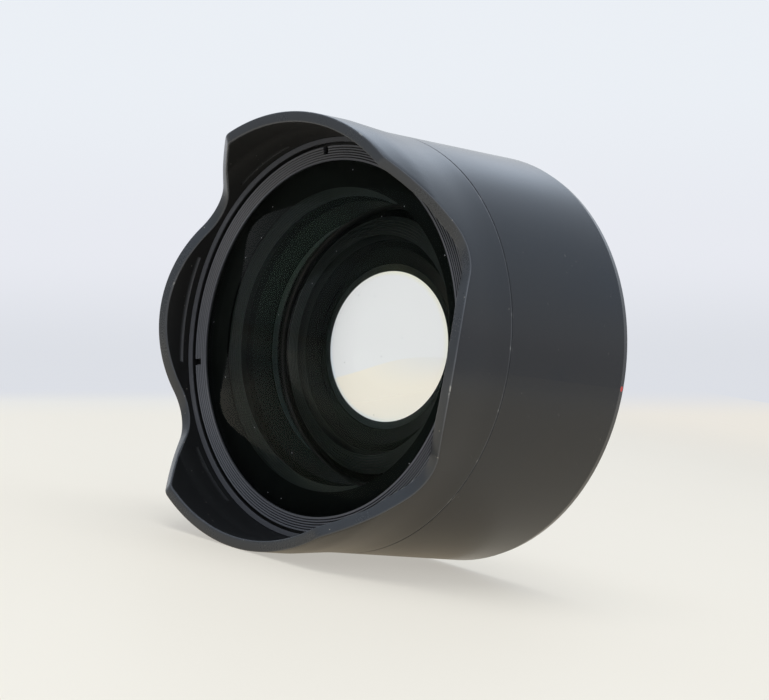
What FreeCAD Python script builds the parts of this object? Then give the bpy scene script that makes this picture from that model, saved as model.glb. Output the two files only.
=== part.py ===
import FreeCAD, Part
import math
import os

# A wide-angle conversion lens: a petal hood, an outer barrel, a stack of four glass
# elements in two cells, and a rear bayonet socket with a sprung lock and its release.
# Millimetres. The optical axis is the Y axis, with the front towards -Y and the tall
# petals towards +Z and -Z. The origin is the centre of the mounting flange, which is
# the rear face of the bayonet ring. Outlines of turned pieces are (radius, y) points.

# Outer shells. Radii come from the barrel inwards, each by its own wall or step.
barrel_radius = 39.4
shell_wall = 1.9
rim_behind_flange = 1.2
rear_chamfer_length = 1.3
rear_chamfer_depth = 0.35
seam_behind_ring_plane = 7.8
seam_gap = 0.06
seam_edge_break = 0.15
skirt_length = 4.0
skirt_wall = 0.8

# Petal hood
tall_petal_reach = 14.0
short_petal_reach = 6.9
valley_reach = 2.15
valley_angle = 59.9
valley_radius = 9.8
petal_side_slope_angle = 36.8
petal_corner_radius = 3.0
petal_curve_points = 40
flare_seam_distance = 1.8
flare_reach = 7.4
flare_out_depth = 0.75
flare_in_start_distance = 3.4
flare_in_depth = 0.65
cap_groove_distance = 2.6
cap_groove_width = 0.7
cap_groove_depth = 0.3
side_groove_half_angle = 15.5
upper_groove_angle = 36.5
upper_groove_half_angle = 10.5

# Fits
slip_gap = 0.1
thread_gap = 0.1
glass_gap = 0.1
lip_gap = 0.05
sliding_gap = 0.1
face_gap = 0.1

# Main barrel
main_wall = 4.4
main_shoulder_thickness = 2.2
cover_seat_step = 1.0

# Front cell and its retaining ring
cell_lip_width = 0.9
cell_lip_ahead_distance = 0.9
cell_spigot_step = 1.4
cell_spigot_distance = 3.4
cell_thread_wall = 1.2
cell_seat_thickness = 1.7
cell_seat_clearance = 0.8
ring_gap_width = 0.55
ring_wall = 1.5
ring_lip_height = 0.45
ring_flange_height = 1.0
ring_length = 3.2
ring_funnel_height = 0.33
ring_rib_count = 6
ring_rib_depth = 0.2
ring_rib_crest_share = 0.35
ring_rib_rise_share = 0.45
ring_notch_width = 1.2
ring_notch_depth = 1.1
ring_notch_length = 1.3
first_notch_pair_angle = 103.8
second_notch_pair_angle = 195.9
seal_groove_width = 1.0
seal_groove_depth = 0.7
seal_distance = 1.4
seal_gap = 0.05

# Front element, a negative meniscus. A radius is positive where its centre lies behind.
front_element_thickness = 2.6
front_element_front_radius = 92.0
front_element_rear_radius = 39.0
front_element_front_land_width = 1.4
front_element_rear_land_width = 7.7

# Light baffle between the two cells
cell_spacing = 2.95
baffle_flange_thickness = 1.3
baffle_flange_width = 0.9
baffle_overlap_length = 0.9
baffle_wall = 1.1
baffle_step_count = 4

# Rear cell
rear_cell_front_step = 3.8
rear_cell_front_length = 2.5
rear_cell_rear_step = 5.9
rear_cell_flange_thickness = 2.0
rear_cell_flange_distance = 0.45
rear_cell_rear_depth = 6.1
shim_thickness = 0.2
shim_edge_width = 0.3

# Cemented pair: a negative element in front of a positive one
doublet_thread_wall = 1.6
doublet_ring_seat_width = 1.9
doublet_front_land_width = 0.9
doublet_rear_land_width = 1.7
doublet_front_thickness = 1.8
doublet_front_radius = -116.5
doublet_joint_radius = 92.0
doublet_cement_thickness = 0.02
doublet_rear_edge_thickness = 1.5
doublet_rear_radius = -120.6
doublet_ring_step_count = 5
doublet_ring_inner_width = 3.0
doublet_ring_lip_height = 0.4
doublet_ring_rim_width = 0.8

# Rear element and its retaining ring
rear_glass_recess_depth = 7.1
rear_element_edge_thickness = 2.72
rear_element_front_radius = 172.0
rear_element_rear_radius = -360.0
rear_element_land_width = 1.2
rear_air_gap = 0.6
rear_thread_wall = 4.7
rear_ring_seat_width = 0.7
rear_ring_lip_width = 3.1
rear_ring_lip_gap = 0.2
rear_ring_lip_height = 0.35
rear_ring_proud_height = 0.4
rear_ring_rim_width = 0.8
rear_ring_notch_width = 1.4
rear_ring_notch_depth = 0.7
rear_ring_notch_length = 1.5

# Rear socket
socket_wall = 3.8
socket_depth = 6.2
lead_wall_length = 2.6
tab_thickness = 1.4
tab_height = 1.8
undercut_depth = 0.4
tab_count = 3
tab_angle = 44.0
first_tab_angle = 90.0
flange_lip_height = 0.8
flange_lip_thickness = 1.4
cover_thickness = 1.0
cushion_edge_width = 1.0
cushion_width = 2.9
cushion_thickness = 0.3
leaf_thickness = 0.25
leaf_angle = 34.0
leaf_edge_width = 0.3
leaf_gap = 0.15

# Lock and its release, on the -X side
release_travel_length = 2.2
pin_circle_distance = 1.1
pin_radius = 0.7
pin_standing_height = 2.0
arm_length = 2.5
arm_half_width = 2.0
arm_distance = 1.9
foot_half_width = 3.0
foot_gap = 0.3
foot_thickness = 2.1
foot_joint_length = 0.2
knob_length = 6.4
knob_half_width = 4.4
knob_proud_height = 0.6
knob_sunk_depth = 0.75
knob_recess_gap = 0.15
knob_boss_depth = 2.0
knob_ridge_count = 5
knob_ridge_spacing = 1.1
knob_ridge_depth = 0.3
knob_ridge_width = 0.5
spring_coil_radius = 0.95
spring_wire_radius = 0.15
spring_turn_count = 3
spring_end_gap = 0.02

# Screws, each with a slotted head on a plain shank
screw_gap = 0.05
slot_width_share = 0.28
slot_depth_share = 0.5
hood_screw_head_radius = 1.3
hood_screw_head_height = 0.6
hood_screw_shank_radius = 0.8
hood_screw_end_gap = 0.1
cell_set_screw_radius = 0.8
cell_set_screw_head_height = 0.5
cell_set_screw_shank_length = 1.2
cell_screw_head_radius = 1.5
cell_screw_head_height = 1.1
cell_screw_shank_radius = 1.0
cell_screw_shank_length = 3.6
bayonet_screw_head_radius = 1.6
bayonet_screw_head_height = 0.9
bayonet_screw_shank_radius = 1.0
bayonet_screw_shank_length = 9.0
knob_screw_head_radius = 1.0
knob_screw_head_height = 0.5
knob_screw_shank_radius = 0.55
knob_screw_shank_length = 3.6
hood_screw_count = 3
hood_screw_angle = 0.0
hood_screw_distance = 2.2
cell_set_screw_count = 3
cell_set_screw_angle = 60.0
cell_set_screw_distance = 1.7
cell_screw_count = 3
cell_screw_angle = 90.0
cell_screw_inset_distance = 2.0
bayonet_screw_count = 4
bayonet_screw_angle = 45.0

# Index dot on the rear chamfer, at +X
dot_radius = 0.5
dot_length = 0.6
dot_distance = 0.65

full_turn = 360.0
quarter_turn = 90.0
eighth_turn = 45.0

# Radii that the pieces share, from the barrel inwards
shell_bore_radius = barrel_radius - shell_wall
skirt_radius = shell_bore_radius + skirt_wall
main_radius = shell_bore_radius - slip_gap
main_bore_radius = main_radius - main_wall
cover_seat_radius = main_bore_radius + cover_seat_step
cell_lip_radius = main_radius - cell_lip_width
cell_spigot_radius = main_radius - cell_spigot_step
ring_thread_bore_radius = main_radius - cell_thread_wall
ring_thread_radius = ring_thread_bore_radius - thread_gap
ring_flange_radius = cell_lip_radius - ring_gap_width
ring_notch_radius = ring_flange_radius - ring_notch_length
glass_bore_radius = ring_thread_radius - ring_wall
front_element_edge_radius = glass_bore_radius - glass_gap
front_element_front_clear_radius = front_element_edge_radius - front_element_front_land_width
front_element_rear_clear_radius = front_element_edge_radius - front_element_rear_land_width
ring_lip_radius = front_element_front_clear_radius + lip_gap
cell_seat_inner_radius = front_element_rear_clear_radius + cell_seat_clearance
baffle_flange_radius = main_bore_radius + baffle_flange_width

rear_cell_flange_radius = main_bore_radius - slip_gap
rear_cell_front_radius = rear_cell_flange_radius - rear_cell_front_step
rear_cell_rear_radius = rear_cell_flange_radius - rear_cell_rear_step
shoulder_bore_radius = rear_cell_front_radius + slip_gap
cell_screw_circle_radius = rear_cell_flange_radius - cell_screw_inset_distance
doublet_thread_bore_radius = rear_cell_front_radius - doublet_thread_wall
doublet_ring_radius = doublet_thread_bore_radius - thread_gap
doublet_edge_radius = doublet_ring_radius - doublet_ring_seat_width
doublet_front_clear_radius = doublet_edge_radius - doublet_front_land_width
doublet_rear_clear_radius = doublet_edge_radius - doublet_rear_land_width
doublet_ring_inner_radius = doublet_ring_radius - doublet_ring_inner_width
rear_thread_bore_radius = rear_cell_rear_radius - rear_thread_wall
rear_ring_radius = rear_thread_bore_radius - thread_gap
rear_element_edge_radius = rear_ring_radius - rear_ring_seat_width
rear_element_clear_radius = rear_element_edge_radius - rear_element_land_width
rear_ring_inner_radius = rear_element_edge_radius - rear_ring_lip_width

socket_radius = main_radius - socket_wall
tab_inner_radius = socket_radius - tab_height
undercut_radius = socket_radius + undercut_depth
flange_lip_radius = main_radius + flange_lip_height
bayonet_screw_circle_radius = (main_radius + socket_radius) / 2
cushion_inner_radius = rear_cell_rear_radius + cushion_edge_width
cushion_outer_radius = cushion_inner_radius + cushion_width
pin_circle_radius = main_bore_radius - pin_circle_distance
foot_outer_radius = main_bore_radius - foot_gap
foot_inner_radius = foot_outer_radius - foot_thickness
knob_top_radius = barrel_radius + knob_proud_height
knob_underside_radius = barrel_radius - knob_sunk_depth
knob_boss_inner_radius = barrel_radius - knob_boss_depth
recess_radius = knob_underside_radius - knob_recess_gap


def sag(radius, height):
    """How far a spherical surface has curved away at a height from the axis."""
    depth = abs(radius) - math.sqrt(radius ** 2 - height ** 2)
    return math.copysign(depth, radius)


# Places along the axis that the pieces share, from the flange forwards
rim_y = rim_behind_flange
cover_rear_y = -socket_depth
cover_front_y = cover_rear_y - cover_thickness
rear_element_rear_y = -rear_glass_recess_depth
rear_element_rear_land_y = rear_element_rear_y + sag(rear_element_rear_radius,
                                                     rear_element_clear_radius)
rear_element_seat_y = rear_element_rear_land_y - rear_element_edge_thickness
rear_element_front_y = rear_element_seat_y - sag(rear_element_front_radius,
                                                 rear_element_clear_radius)
doublet_rear_y = rear_element_front_y - rear_air_gap
doublet_seat_y = doublet_rear_y + sag(doublet_rear_radius, doublet_rear_clear_radius)
doublet_joint_y = (doublet_seat_y - doublet_rear_edge_thickness
                   - sag(doublet_joint_radius, doublet_edge_radius))
doublet_front_y = doublet_joint_y - doublet_cement_thickness - doublet_front_thickness
doublet_front_land_y = doublet_front_y + sag(doublet_front_radius, doublet_front_clear_radius)
rear_cell_rear_y = -rear_cell_rear_depth
rear_cell_front_y = doublet_front_land_y - rear_cell_front_length
rear_cell_flange_rear_y = doublet_seat_y - rear_cell_flange_distance
rear_cell_flange_front_y = rear_cell_flange_rear_y - rear_cell_flange_thickness
shoulder_rear_y = rear_cell_flange_front_y - shim_thickness
shoulder_front_y = shoulder_rear_y - main_shoulder_thickness

cell_rear_y = rear_cell_front_y - cell_spacing
baffle_front_y = cell_rear_y + face_gap
baffle_seat_y = baffle_front_y + baffle_flange_thickness
front_element_seat_y = cell_rear_y - cell_seat_thickness
front_element_rear_y = front_element_seat_y - sag(front_element_rear_radius,
                                                  front_element_rear_clear_radius)
front_element_front_y = front_element_rear_y - front_element_thickness
front_element_front_land_y = front_element_front_y + sag(front_element_front_radius,
                                                         front_element_front_clear_radius)
ring_plane_y = front_element_front_land_y - ring_lip_height / 2
ring_rim_y = ring_plane_y - ring_funnel_height
ring_flange_rear_y = ring_rim_y + ring_flange_height
ring_rear_y = ring_plane_y + ring_length
ring_thread_end_y = ring_rear_y + face_gap
seal_y = ring_thread_end_y + seal_distance
cell_front_y = ring_plane_y - cell_lip_ahead_distance
cell_spigot_y = ring_plane_y + cell_spigot_distance
main_front_y = cell_spigot_y + face_gap
seam_y = ring_plane_y + seam_behind_ring_plane
skirt_end_y = seam_y + skirt_length
tall_tip_y = ring_plane_y - tall_petal_reach

arm_rear_y = cover_front_y - arm_distance
arm_front_y = arm_rear_y - arm_length
arm_middle_y = (arm_rear_y + arm_front_y) / 2
knob_rear_y = arm_middle_y + knob_length / 2
knob_front_y = arm_middle_y - knob_length / 2


def turned(points):
    """Solid of revolution about Y. A point of four numbers ends an arc: its first pair
    is the arc's middle and its second pair the arc's end."""
    edges = []
    at = FreeCAD.Vector(points[0][0], points[0][1], 0)
    first = at
    for point in list(points[1:]) + [points[0][:2]]:
        end = FreeCAD.Vector(point[-2], point[-1], 0)
        if end.distanceToPoint(at) < 1e-7:
            continue
        if len(point) == 4:
            middle = FreeCAD.Vector(point[0], point[1], 0)
            edges.append(Part.Arc(at, middle, end).toShape())
        else:
            edges.append(Part.makeLine(at, end))
        at = end
    if at.distanceToPoint(first) > 1e-7:
        edges.append(Part.makeLine(at, first))
    face = Part.Face(Part.Wire(edges))
    return face.revolve(FreeCAD.Vector(0, 0, 0), FreeCAD.Vector(0, 1, 0), full_turn)


def tube(outer, inner, front_y, rear_y):
    """Plain round tube along the axis."""
    return turned([(inner, front_y), (outer, front_y), (outer, rear_y), (inner, rear_y)])


def about_axis(shape, angle):
    """Copy turned about the optical axis, from +X towards +Z."""
    copy = shape.copy()
    copy.rotate(FreeCAD.Vector(0, 0, 0), FreeCAD.Vector(0, 1, 0), -angle)
    return copy


def block(x_low, x_high, y_low, y_high, z_half):
    """Box that is centred on z = 0."""
    corner = FreeCAD.Vector(x_low, y_low, -z_half)
    return Part.makeBox(x_high - x_low, y_high - y_low, 2 * z_half, corner)


def sector(outer, inner, front_y, rear_y, angle):
    """Part of a tube, centred on +X."""
    edge_angle = math.radians(angle / 2)
    low = (math.cos(edge_angle), -math.sin(edge_angle))
    high = (math.cos(edge_angle), math.sin(edge_angle))

    def at(radius, way):
        return FreeCAD.Vector(radius * way[0], front_y, radius * way[1])

    edges = [
        Part.Arc(at(outer, low), FreeCAD.Vector(outer, front_y, 0), at(outer, high)).toShape(),
        Part.makeLine(at(outer, high), at(inner, high)),
        Part.Arc(at(inner, high), FreeCAD.Vector(inner, front_y, 0), at(inner, low)).toShape(),
        Part.makeLine(at(inner, low), at(outer, low)),
    ]
    return Part.Face(Part.Wire(edges)).extrude(FreeCAD.Vector(0, rear_y - front_y, 0))


def screw(size, head_at, way):
    """Slotted cheese-head screw: head_at is the top of the head, way points down the shank."""
    head_radius, head_height, shank_radius, length = size
    head = Part.makeCylinder(head_radius, head_height, head_at, way)
    shank_at = head_at + way * head_height
    shank = Part.makeCylinder(shank_radius, length, shank_at, way)
    slot_width = 2 * head_radius * slot_width_share
    slot_depth = head_height * slot_depth_share
    slot = Part.makeBox(slot_width, 2 * head_radius, slot_depth,
                        FreeCAD.Vector(-slot_width / 2, -head_radius, 0))
    slot.Placement = FreeCAD.Placement(head_at, FreeCAD.Rotation(FreeCAD.Vector(0, 0, 1), way))
    return head.fuse(shank).cut(slot)


def screw_hole(size, head_at, way):
    """Room for a screw: a counterbore and a hole a little larger than the screw."""
    head_radius, head_height, shank_radius, length = size
    lead = head_height
    head = Part.makeCylinder(head_radius + screw_gap, head_height + lead,
                             head_at - way * lead, way)
    shank = Part.makeCylinder(shank_radius + screw_gap, head_height + length + screw_gap,
                              head_at, way)
    return head.fuse(shank)


def ring_of(shape, count, first_angle):
    """List of copies evenly spaced about the axis."""
    return [about_axis(shape, first_angle + full_turn * i / count) for i in range(count)]


def radial_place(radius, y):
    """Top of a screw head that sits at +X and the way down its shank."""
    return FreeCAD.Vector(radius, y, 0), FreeCAD.Vector(-1, 0, 0)


def axial_place(radius, y):
    """Top of a screw head that faces the rear, on a circle about the axis."""
    return FreeCAD.Vector(radius, y, 0), FreeCAD.Vector(0, -1, 0)


# Screw sizes: head radius, head height, shank radius and length under the head. The hood's
# screws end short of the front cell's spigot.
hood_screw_depth = skirt_radius - cell_spigot_radius - slip_gap - hood_screw_end_gap
hood_screw = (hood_screw_head_radius, hood_screw_head_height, hood_screw_shank_radius,
              hood_screw_depth - hood_screw_head_height)
cell_set_screw = (cell_set_screw_radius, cell_set_screw_head_height, cell_set_screw_radius,
                  cell_set_screw_shank_length)
cell_screw = (cell_screw_head_radius, cell_screw_head_height, cell_screw_shank_radius,
              cell_screw_shank_length)
bayonet_screw = (bayonet_screw_head_radius, bayonet_screw_head_height,
                 bayonet_screw_shank_radius, bayonet_screw_shank_length)
knob_screw = (knob_screw_head_radius, knob_screw_head_height, knob_screw_shank_radius,
              knob_screw_shank_length)

# Screw sets: size, place of the first one, how many, and the first one's angle
hood_screw_set = (hood_screw, radial_place(skirt_radius, seam_y + hood_screw_distance),
                  hood_screw_count, hood_screw_angle)
cell_set_screw_set = (cell_set_screw,
                      radial_place(main_radius,
                                   cell_spigot_y + cell_set_screw_distance),
                      cell_set_screw_count, cell_set_screw_angle)
cell_screw_set = (cell_screw,
                  axial_place(cell_screw_circle_radius,
                              rear_cell_flange_rear_y + cell_screw_head_height),
                  cell_screw_count, cell_screw_angle)
bayonet_screw_set = (bayonet_screw, axial_place(bayonet_screw_circle_radius, 0.0),
                     bayonet_screw_count, bayonet_screw_angle)
knob_screw_head = FreeCAD.Vector(-(knob_top_radius - knob_ridge_depth), arm_middle_y, 0)
knob_screw_way = FreeCAD.Vector(1, 0, 0)


def screws(screw_set):
    """The screws of a set as one group of separate solids."""
    size, place, count, turn = screw_set
    return Part.makeCompound(ring_of(screw(size, *place), count, turn))


def with_holes(shape, screw_set):
    """A piece with the holes for a set of screws."""
    size, place, count, turn = screw_set
    return shape.cut(ring_of(screw_hole(size, *place), count, turn))


def glass(front_y, front_radius, front_clear, rear_y, rear_radius, rear_clear, edge):
    """Lens element with flat lands outside its clear radii."""
    front_rim = front_y + sag(front_radius, front_clear)
    rear_rim = rear_y + sag(rear_radius, rear_clear)
    points = [
        (0, front_y),
        (front_clear / 2, front_y + sag(front_radius, front_clear / 2),
         front_clear, front_rim),
        (edge, front_rim),
        (edge, rear_rim),
        (rear_clear, rear_rim),
        (rear_clear / 2, rear_y + sag(rear_radius, rear_clear / 2), 0, rear_y),
    ]
    return turned(points)


def flare(start_radius, start_y, end_radius, end_y):
    """Arc point that leaves a cylinder smoothly and ends further out."""
    length = abs(end_y - start_y)
    rise = end_radius - start_radius
    radius = (length ** 2 + rise ** 2) / (2 * rise)
    middle = radius - math.sqrt(radius ** 2 - (length / 2) ** 2)
    return (start_radius + middle, (start_y + end_y) / 2, end_radius, end_y)


def petal_outline():
    """Petal edge from the middle of a tall petal to the middle of a short one, laid out
    flat as (length round the barrel, y), and the length where the tall petal's tip ends."""
    tip_y = tall_tip_y
    per_degree = math.radians(1) * barrel_radius
    valley = valley_angle * per_degree
    valley_y = ring_plane_y - valley_reach
    side = math.radians(petal_side_slope_angle)
    valley_centre = FreeCAD.Vector(valley, valley_y - valley_radius, 0)
    side_foot = valley_centre + FreeCAD.Vector(-math.sin(side), math.cos(side), 0) * valley_radius
    side_run = (side_foot.y - tip_y) / math.tan(side)
    sharp_corner = FreeCAD.Vector(side_foot.x - side_run, tip_y, 0)
    trim = petal_corner_radius * math.tan(side / 2)
    corner_start = sharp_corner - FreeCAD.Vector(trim, 0, 0)
    corner_end = sharp_corner + FreeCAD.Vector(math.cos(side), math.sin(side), 0) * trim
    corner_centre = corner_start + FreeCAD.Vector(0, petal_corner_radius, 0)
    corner_way = FreeCAD.Vector(math.sin(side / 2), -math.cos(side / 2), 0)
    corner_middle = corner_centre + corner_way * petal_corner_radius

    # The short petal's radius makes its arc touch the valley's arc
    run = quarter_turn * per_degree - valley
    rise = valley_reach - short_petal_reach + valley_radius
    short_radius = (run ** 2 + rise ** 2 - valley_radius ** 2) / (2 * (valley_radius - rise))
    short_tip = FreeCAD.Vector(quarter_turn * per_degree, ring_plane_y - short_petal_reach, 0)
    short_centre = short_tip + FreeCAD.Vector(0, short_radius, 0)
    between = (short_centre - valley_centre).normalize()
    meeting = valley_centre + between * valley_radius
    valley_bottom = FreeCAD.Vector(valley, valley_y, 0)
    short_way = (meeting - short_centre).normalize() + FreeCAD.Vector(0, -1, 0)
    short_middle = short_centre + short_way.normalize() * short_radius

    curve = Part.Wire([
        Part.Arc(corner_start, corner_middle, corner_end).toShape(),
        Part.makeLine(corner_end, side_foot),
        Part.Arc(side_foot, valley_bottom, meeting).toShape(),
        Part.Arc(meeting, short_middle, short_tip).toShape(),
    ])
    return curve, corner_start


def petal_cutter():
    """Everything in front of the petal edge in one quarter, cut square to the axis, with
    the quarter's middle on +X, the tall petal's middle at -45 and the short one's at 45."""
    curve, corner_start = petal_outline()
    points = curve.discretize(Number=petal_curve_points)
    lengths = [curve.Length * i / (petal_curve_points - 1) for i in range(petal_curve_points)]
    front_y = corner_start.y - shell_wall
    wires = []
    for distance in (0.6 * barrel_radius, 1.1 * barrel_radius):
        def across(length):
            angle = length / barrel_radius - math.radians(eighth_turn)
            return distance * math.tan(angle)
        laid = [FreeCAD.Vector(distance, p.y, across(p.x)) for p in points]
        laid[-1] = FreeCAD.Vector(distance, points[-1].y, distance)
        spline = Part.BSplineCurve()
        spline.interpolate(Points=laid, Parameters=lengths)
        tip_start = FreeCAD.Vector(distance, corner_start.y, -distance)
        front_low = FreeCAD.Vector(distance, front_y, -distance)
        front_high = FreeCAD.Vector(distance, front_y, distance)
        wires.append(Part.Wire([
            Part.makeLine(tip_start, laid[0]),
            spline.toShape(),
            Part.makeLine(laid[-1], front_high),
            Part.makeLine(front_high, front_low),
            Part.makeLine(front_low, tip_start),
        ]))
    return Part.makeLoft(wires, True, True)


def petal_hood():
    """Front shell with two tall and two short petals and a skirt under the outer barrel.
    Outside it widens from just ahead of the seam, inside only in front of the cap grooves."""
    body_front_y = tall_tip_y - shell_wall / 2
    flare_y = seam_y - flare_seam_distance
    flare_in_y = ring_plane_y - flare_in_start_distance
    flare_end_y = ring_plane_y - flare_reach
    bore = shell_bore_radius
    # The outer arc runs smoothly into the straight cone ahead of the ring plane
    arc_length = flare_y - ring_plane_y
    arc_rise = flare_out_depth * arc_length / (arc_length + 2 * flare_reach)
    body = turned([
        (skirt_radius, skirt_end_y),
        (skirt_radius, seam_y),
        (barrel_radius - seam_edge_break, seam_y),
        (barrel_radius, seam_y - seam_edge_break),
        (barrel_radius, flare_y),
        flare(barrel_radius, flare_y, barrel_radius + arc_rise, ring_plane_y),
        (barrel_radius + flare_out_depth, flare_end_y),
        (barrel_radius + flare_out_depth, body_front_y),
        (bore + flare_in_depth, body_front_y),
        (bore + flare_in_depth, flare_end_y),
        (*flare(bore, flare_in_y, bore + flare_in_depth, flare_end_y)[:2], bore, flare_in_y),
        (bore, skirt_end_y),
    ])
    quarter = petal_cutter()
    mirrored = quarter.mirror(FreeCAD.Vector(0, 0, 0), FreeCAD.Vector(0, 0, 1))
    # Tall petals stand at 90 and 270 degrees from +X, short ones at 0 and 180
    first_angle = eighth_turn
    second_angle = quarter_turn + eighth_turn
    for cutter in ring_of(mirrored, 2, first_angle) + ring_of(quarter, 2, second_angle):
        body = body.cut(cutter)
    for groove in cap_grooves():
        body = body.cut(groove)
    return with_holes(body.removeSplitter(), hood_screw_set)


def cap_grooves():
    """Short grooves inside the petals, where a front cap catches."""
    middle_y = ring_plane_y - cap_groove_distance
    front_y = middle_y - cap_groove_width / 2
    rear_y = middle_y + cap_groove_width / 2
    outer = shell_bore_radius + cap_groove_depth
    inner = shell_bore_radius - cap_groove_depth
    side = sector(outer, inner, front_y, rear_y, 2 * side_groove_half_angle)
    upper = sector(outer, inner, front_y, rear_y, 2 * upper_groove_half_angle)
    grooves = ring_of(side, 2, 0)
    for middle in (quarter_turn - upper_groove_angle, quarter_turn + upper_groove_angle):
        grooves += ring_of(upper, 2, middle)
    return grooves


def outer_barrel():
    """Rear shell, held between the hood's skirt and the bayonet ring's lip."""
    front_y = seam_y + seam_gap
    skirt_bore_end_y = skirt_end_y + face_gap
    lip_bore_radius = flange_lip_radius + slip_gap
    body = turned([
        (skirt_radius + slip_gap, front_y),
        (barrel_radius - seam_edge_break, front_y),
        (barrel_radius, front_y + seam_edge_break),
        (barrel_radius, rim_y - rear_chamfer_length),
        (barrel_radius - rear_chamfer_depth, rim_y),
        (lip_bore_radius, rim_y),
        (lip_bore_radius, -flange_lip_thickness),
        (shell_bore_radius, -flange_lip_thickness),
        (shell_bore_radius, skirt_bore_end_y),
        (skirt_radius + slip_gap, skirt_bore_end_y),
    ])
    body = body.cut(knob_recess())
    body = body.cut(arm_slot())
    return body.cut(index_dot_blank())


def index_dot_blank():
    """Round plug across the rear chamfer at +X."""
    chamfer_drop = rear_chamfer_depth * (1 - dot_distance / rear_chamfer_length)
    face_x = barrel_radius - chamfer_drop
    start = FreeCAD.Vector(face_x - dot_length, rim_y - dot_distance, 0)
    return Part.makeCylinder(dot_radius, dot_length + rear_chamfer_depth, start,
                             FreeCAD.Vector(1, 0, 0))


def index_dot():
    """Red mark for lining the converter up, flush with the chamfer."""
    envelope = turned([
        (0, rim_y - rear_chamfer_length),
        (barrel_radius, rim_y - rear_chamfer_length),
        (barrel_radius - rear_chamfer_depth, rim_y),
        (0, rim_y),
    ])
    return index_dot_blank().common(envelope)


def knob_recess():
    """Shallow seat in the outer barrel in which the release knob slides."""
    front_y = knob_front_y - release_travel_length - knob_recess_gap
    rear_y = knob_rear_y + knob_recess_gap
    room = block(-2 * barrel_radius, 0, front_y, rear_y, knob_half_width + knob_recess_gap)
    return room.cut(tube(recess_radius, 0, front_y - 1, rear_y + 1))


def arm_slot():
    """Slot through both barrels in which the release arm slides."""
    front_y = arm_front_y - release_travel_length - sliding_gap
    rear_y = arm_rear_y + sliding_gap
    inner = main_bore_radius - main_wall
    return block(-2 * barrel_radius, -inner, front_y, rear_y, arm_half_width + sliding_gap)


def front_cell():
    """Tube that holds the front element; its front edge is the thin ring round it."""
    groove_front_y = seal_y - seal_groove_width / 2
    groove_rear_y = seal_y + seal_groove_width / 2
    groove_radius = glass_bore_radius + seal_groove_depth
    body = turned([
        (cell_lip_radius, cell_front_y),
        (main_radius, cell_front_y),
        (main_radius, cell_spigot_y),
        (cell_spigot_radius, cell_spigot_y),
        (cell_spigot_radius, cell_rear_y),
        (cell_seat_inner_radius, cell_rear_y),
        (cell_seat_inner_radius, front_element_seat_y),
        (glass_bore_radius, front_element_seat_y),
        (glass_bore_radius, groove_rear_y),
        (groove_radius, groove_rear_y),
        (groove_radius, groove_front_y),
        (glass_bore_radius, groove_front_y),
        (glass_bore_radius, ring_thread_end_y),
        (ring_thread_bore_radius, ring_thread_end_y),
        (ring_thread_bore_radius, ring_flange_rear_y),
        (cell_lip_radius, ring_flange_rear_y),
    ])
    return with_holes(body, cell_set_screw_set)


def front_seal():
    """Rubber ring in the cell's groove, round the front element's edge."""
    half = seal_groove_width / 2 - seal_gap
    inner = front_element_edge_radius
    outer = glass_bore_radius + seal_groove_depth - seal_gap
    middle = (inner + outer) / 2
    return turned([
        (inner, seal_y - half / 2),
        (middle, seal_y - half),
        (outer, seal_y - half / 2),
        (outer, seal_y + half / 2),
        (middle, seal_y + half),
        (inner, seal_y + half / 2),
    ])


def ring_ribs():
    """Front face of the retaining ring: a lip, then a shallow funnel of stepped ribs."""
    lip_y = front_element_front_land_y - ring_lip_height
    width = (ring_flange_radius - ring_lip_radius) / ring_rib_count
    fall = (ring_rim_y - lip_y) / ring_rib_count
    points = [(ring_lip_radius, lip_y)]
    for i in range(ring_rib_count):
        crest = i + ring_rib_rise_share
        crest_end = crest + ring_rib_crest_share
        points += [
            (ring_lip_radius + crest * width, lip_y + crest * fall),
            (ring_lip_radius + crest_end * width, lip_y + crest_end * fall),
        ]
        if i < ring_rib_count - 1:
            foot = i + 1
            points.append((ring_lip_radius + foot * width,
                           lip_y + foot * fall + ring_rib_depth))
    return points + [(ring_flange_radius, ring_rim_y)]


def front_retaining_ring():
    """Ribbed threaded ring that clamps the front element, with four spanner notches."""
    body = turned([
        (ring_lip_radius, front_element_front_land_y),
        *ring_ribs(),
        (ring_flange_radius, ring_flange_rear_y),
        (ring_thread_radius, ring_flange_rear_y),
        (ring_thread_radius, ring_rear_y),
        (glass_bore_radius, ring_rear_y),
        (glass_bore_radius, front_element_front_land_y),
    ])
    notch = block(ring_notch_radius, barrel_radius,
                  cell_front_y, ring_rim_y + ring_notch_depth, ring_notch_width / 2)
    first_pair = ring_of(notch, 2, first_notch_pair_angle)
    return body.cut(first_pair + ring_of(notch, 2, second_notch_pair_angle))


def front_element():
    """Large negative meniscus at the front."""
    return glass(front_element_front_y, front_element_front_radius,
                 front_element_front_clear_radius,
                 front_element_rear_y, front_element_rear_radius,
                 front_element_rear_clear_radius, front_element_edge_radius)


def light_baffle():
    """Stepped tube that closes the space between the two cells to stray light."""
    tube_inner = shoulder_bore_radius
    tube_outer = tube_inner + baffle_wall
    tube_end_y = rear_cell_front_y + baffle_overlap_length
    steps_end_y = rear_cell_front_y - face_gap
    inside = []
    for i in range(baffle_step_count):
        start_y = baffle_front_y + (steps_end_y - baffle_front_y) * i / baffle_step_count
        end_y = baffle_front_y + (steps_end_y - baffle_front_y) * (i + 1) / baffle_step_count
        widening = (rear_cell_front_radius - cell_seat_inner_radius) / baffle_step_count
        radius = cell_seat_inner_radius + widening * i
        inside += [(radius, start_y), (radius + widening / 2, end_y)]
    return turned([
        *inside,
        (tube_inner, steps_end_y),
        (tube_inner, tube_end_y),
        (tube_outer, tube_end_y),
        (tube_outer, baffle_seat_y),
        (baffle_flange_radius, baffle_seat_y),
        (baffle_flange_radius, baffle_front_y),
    ])


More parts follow.
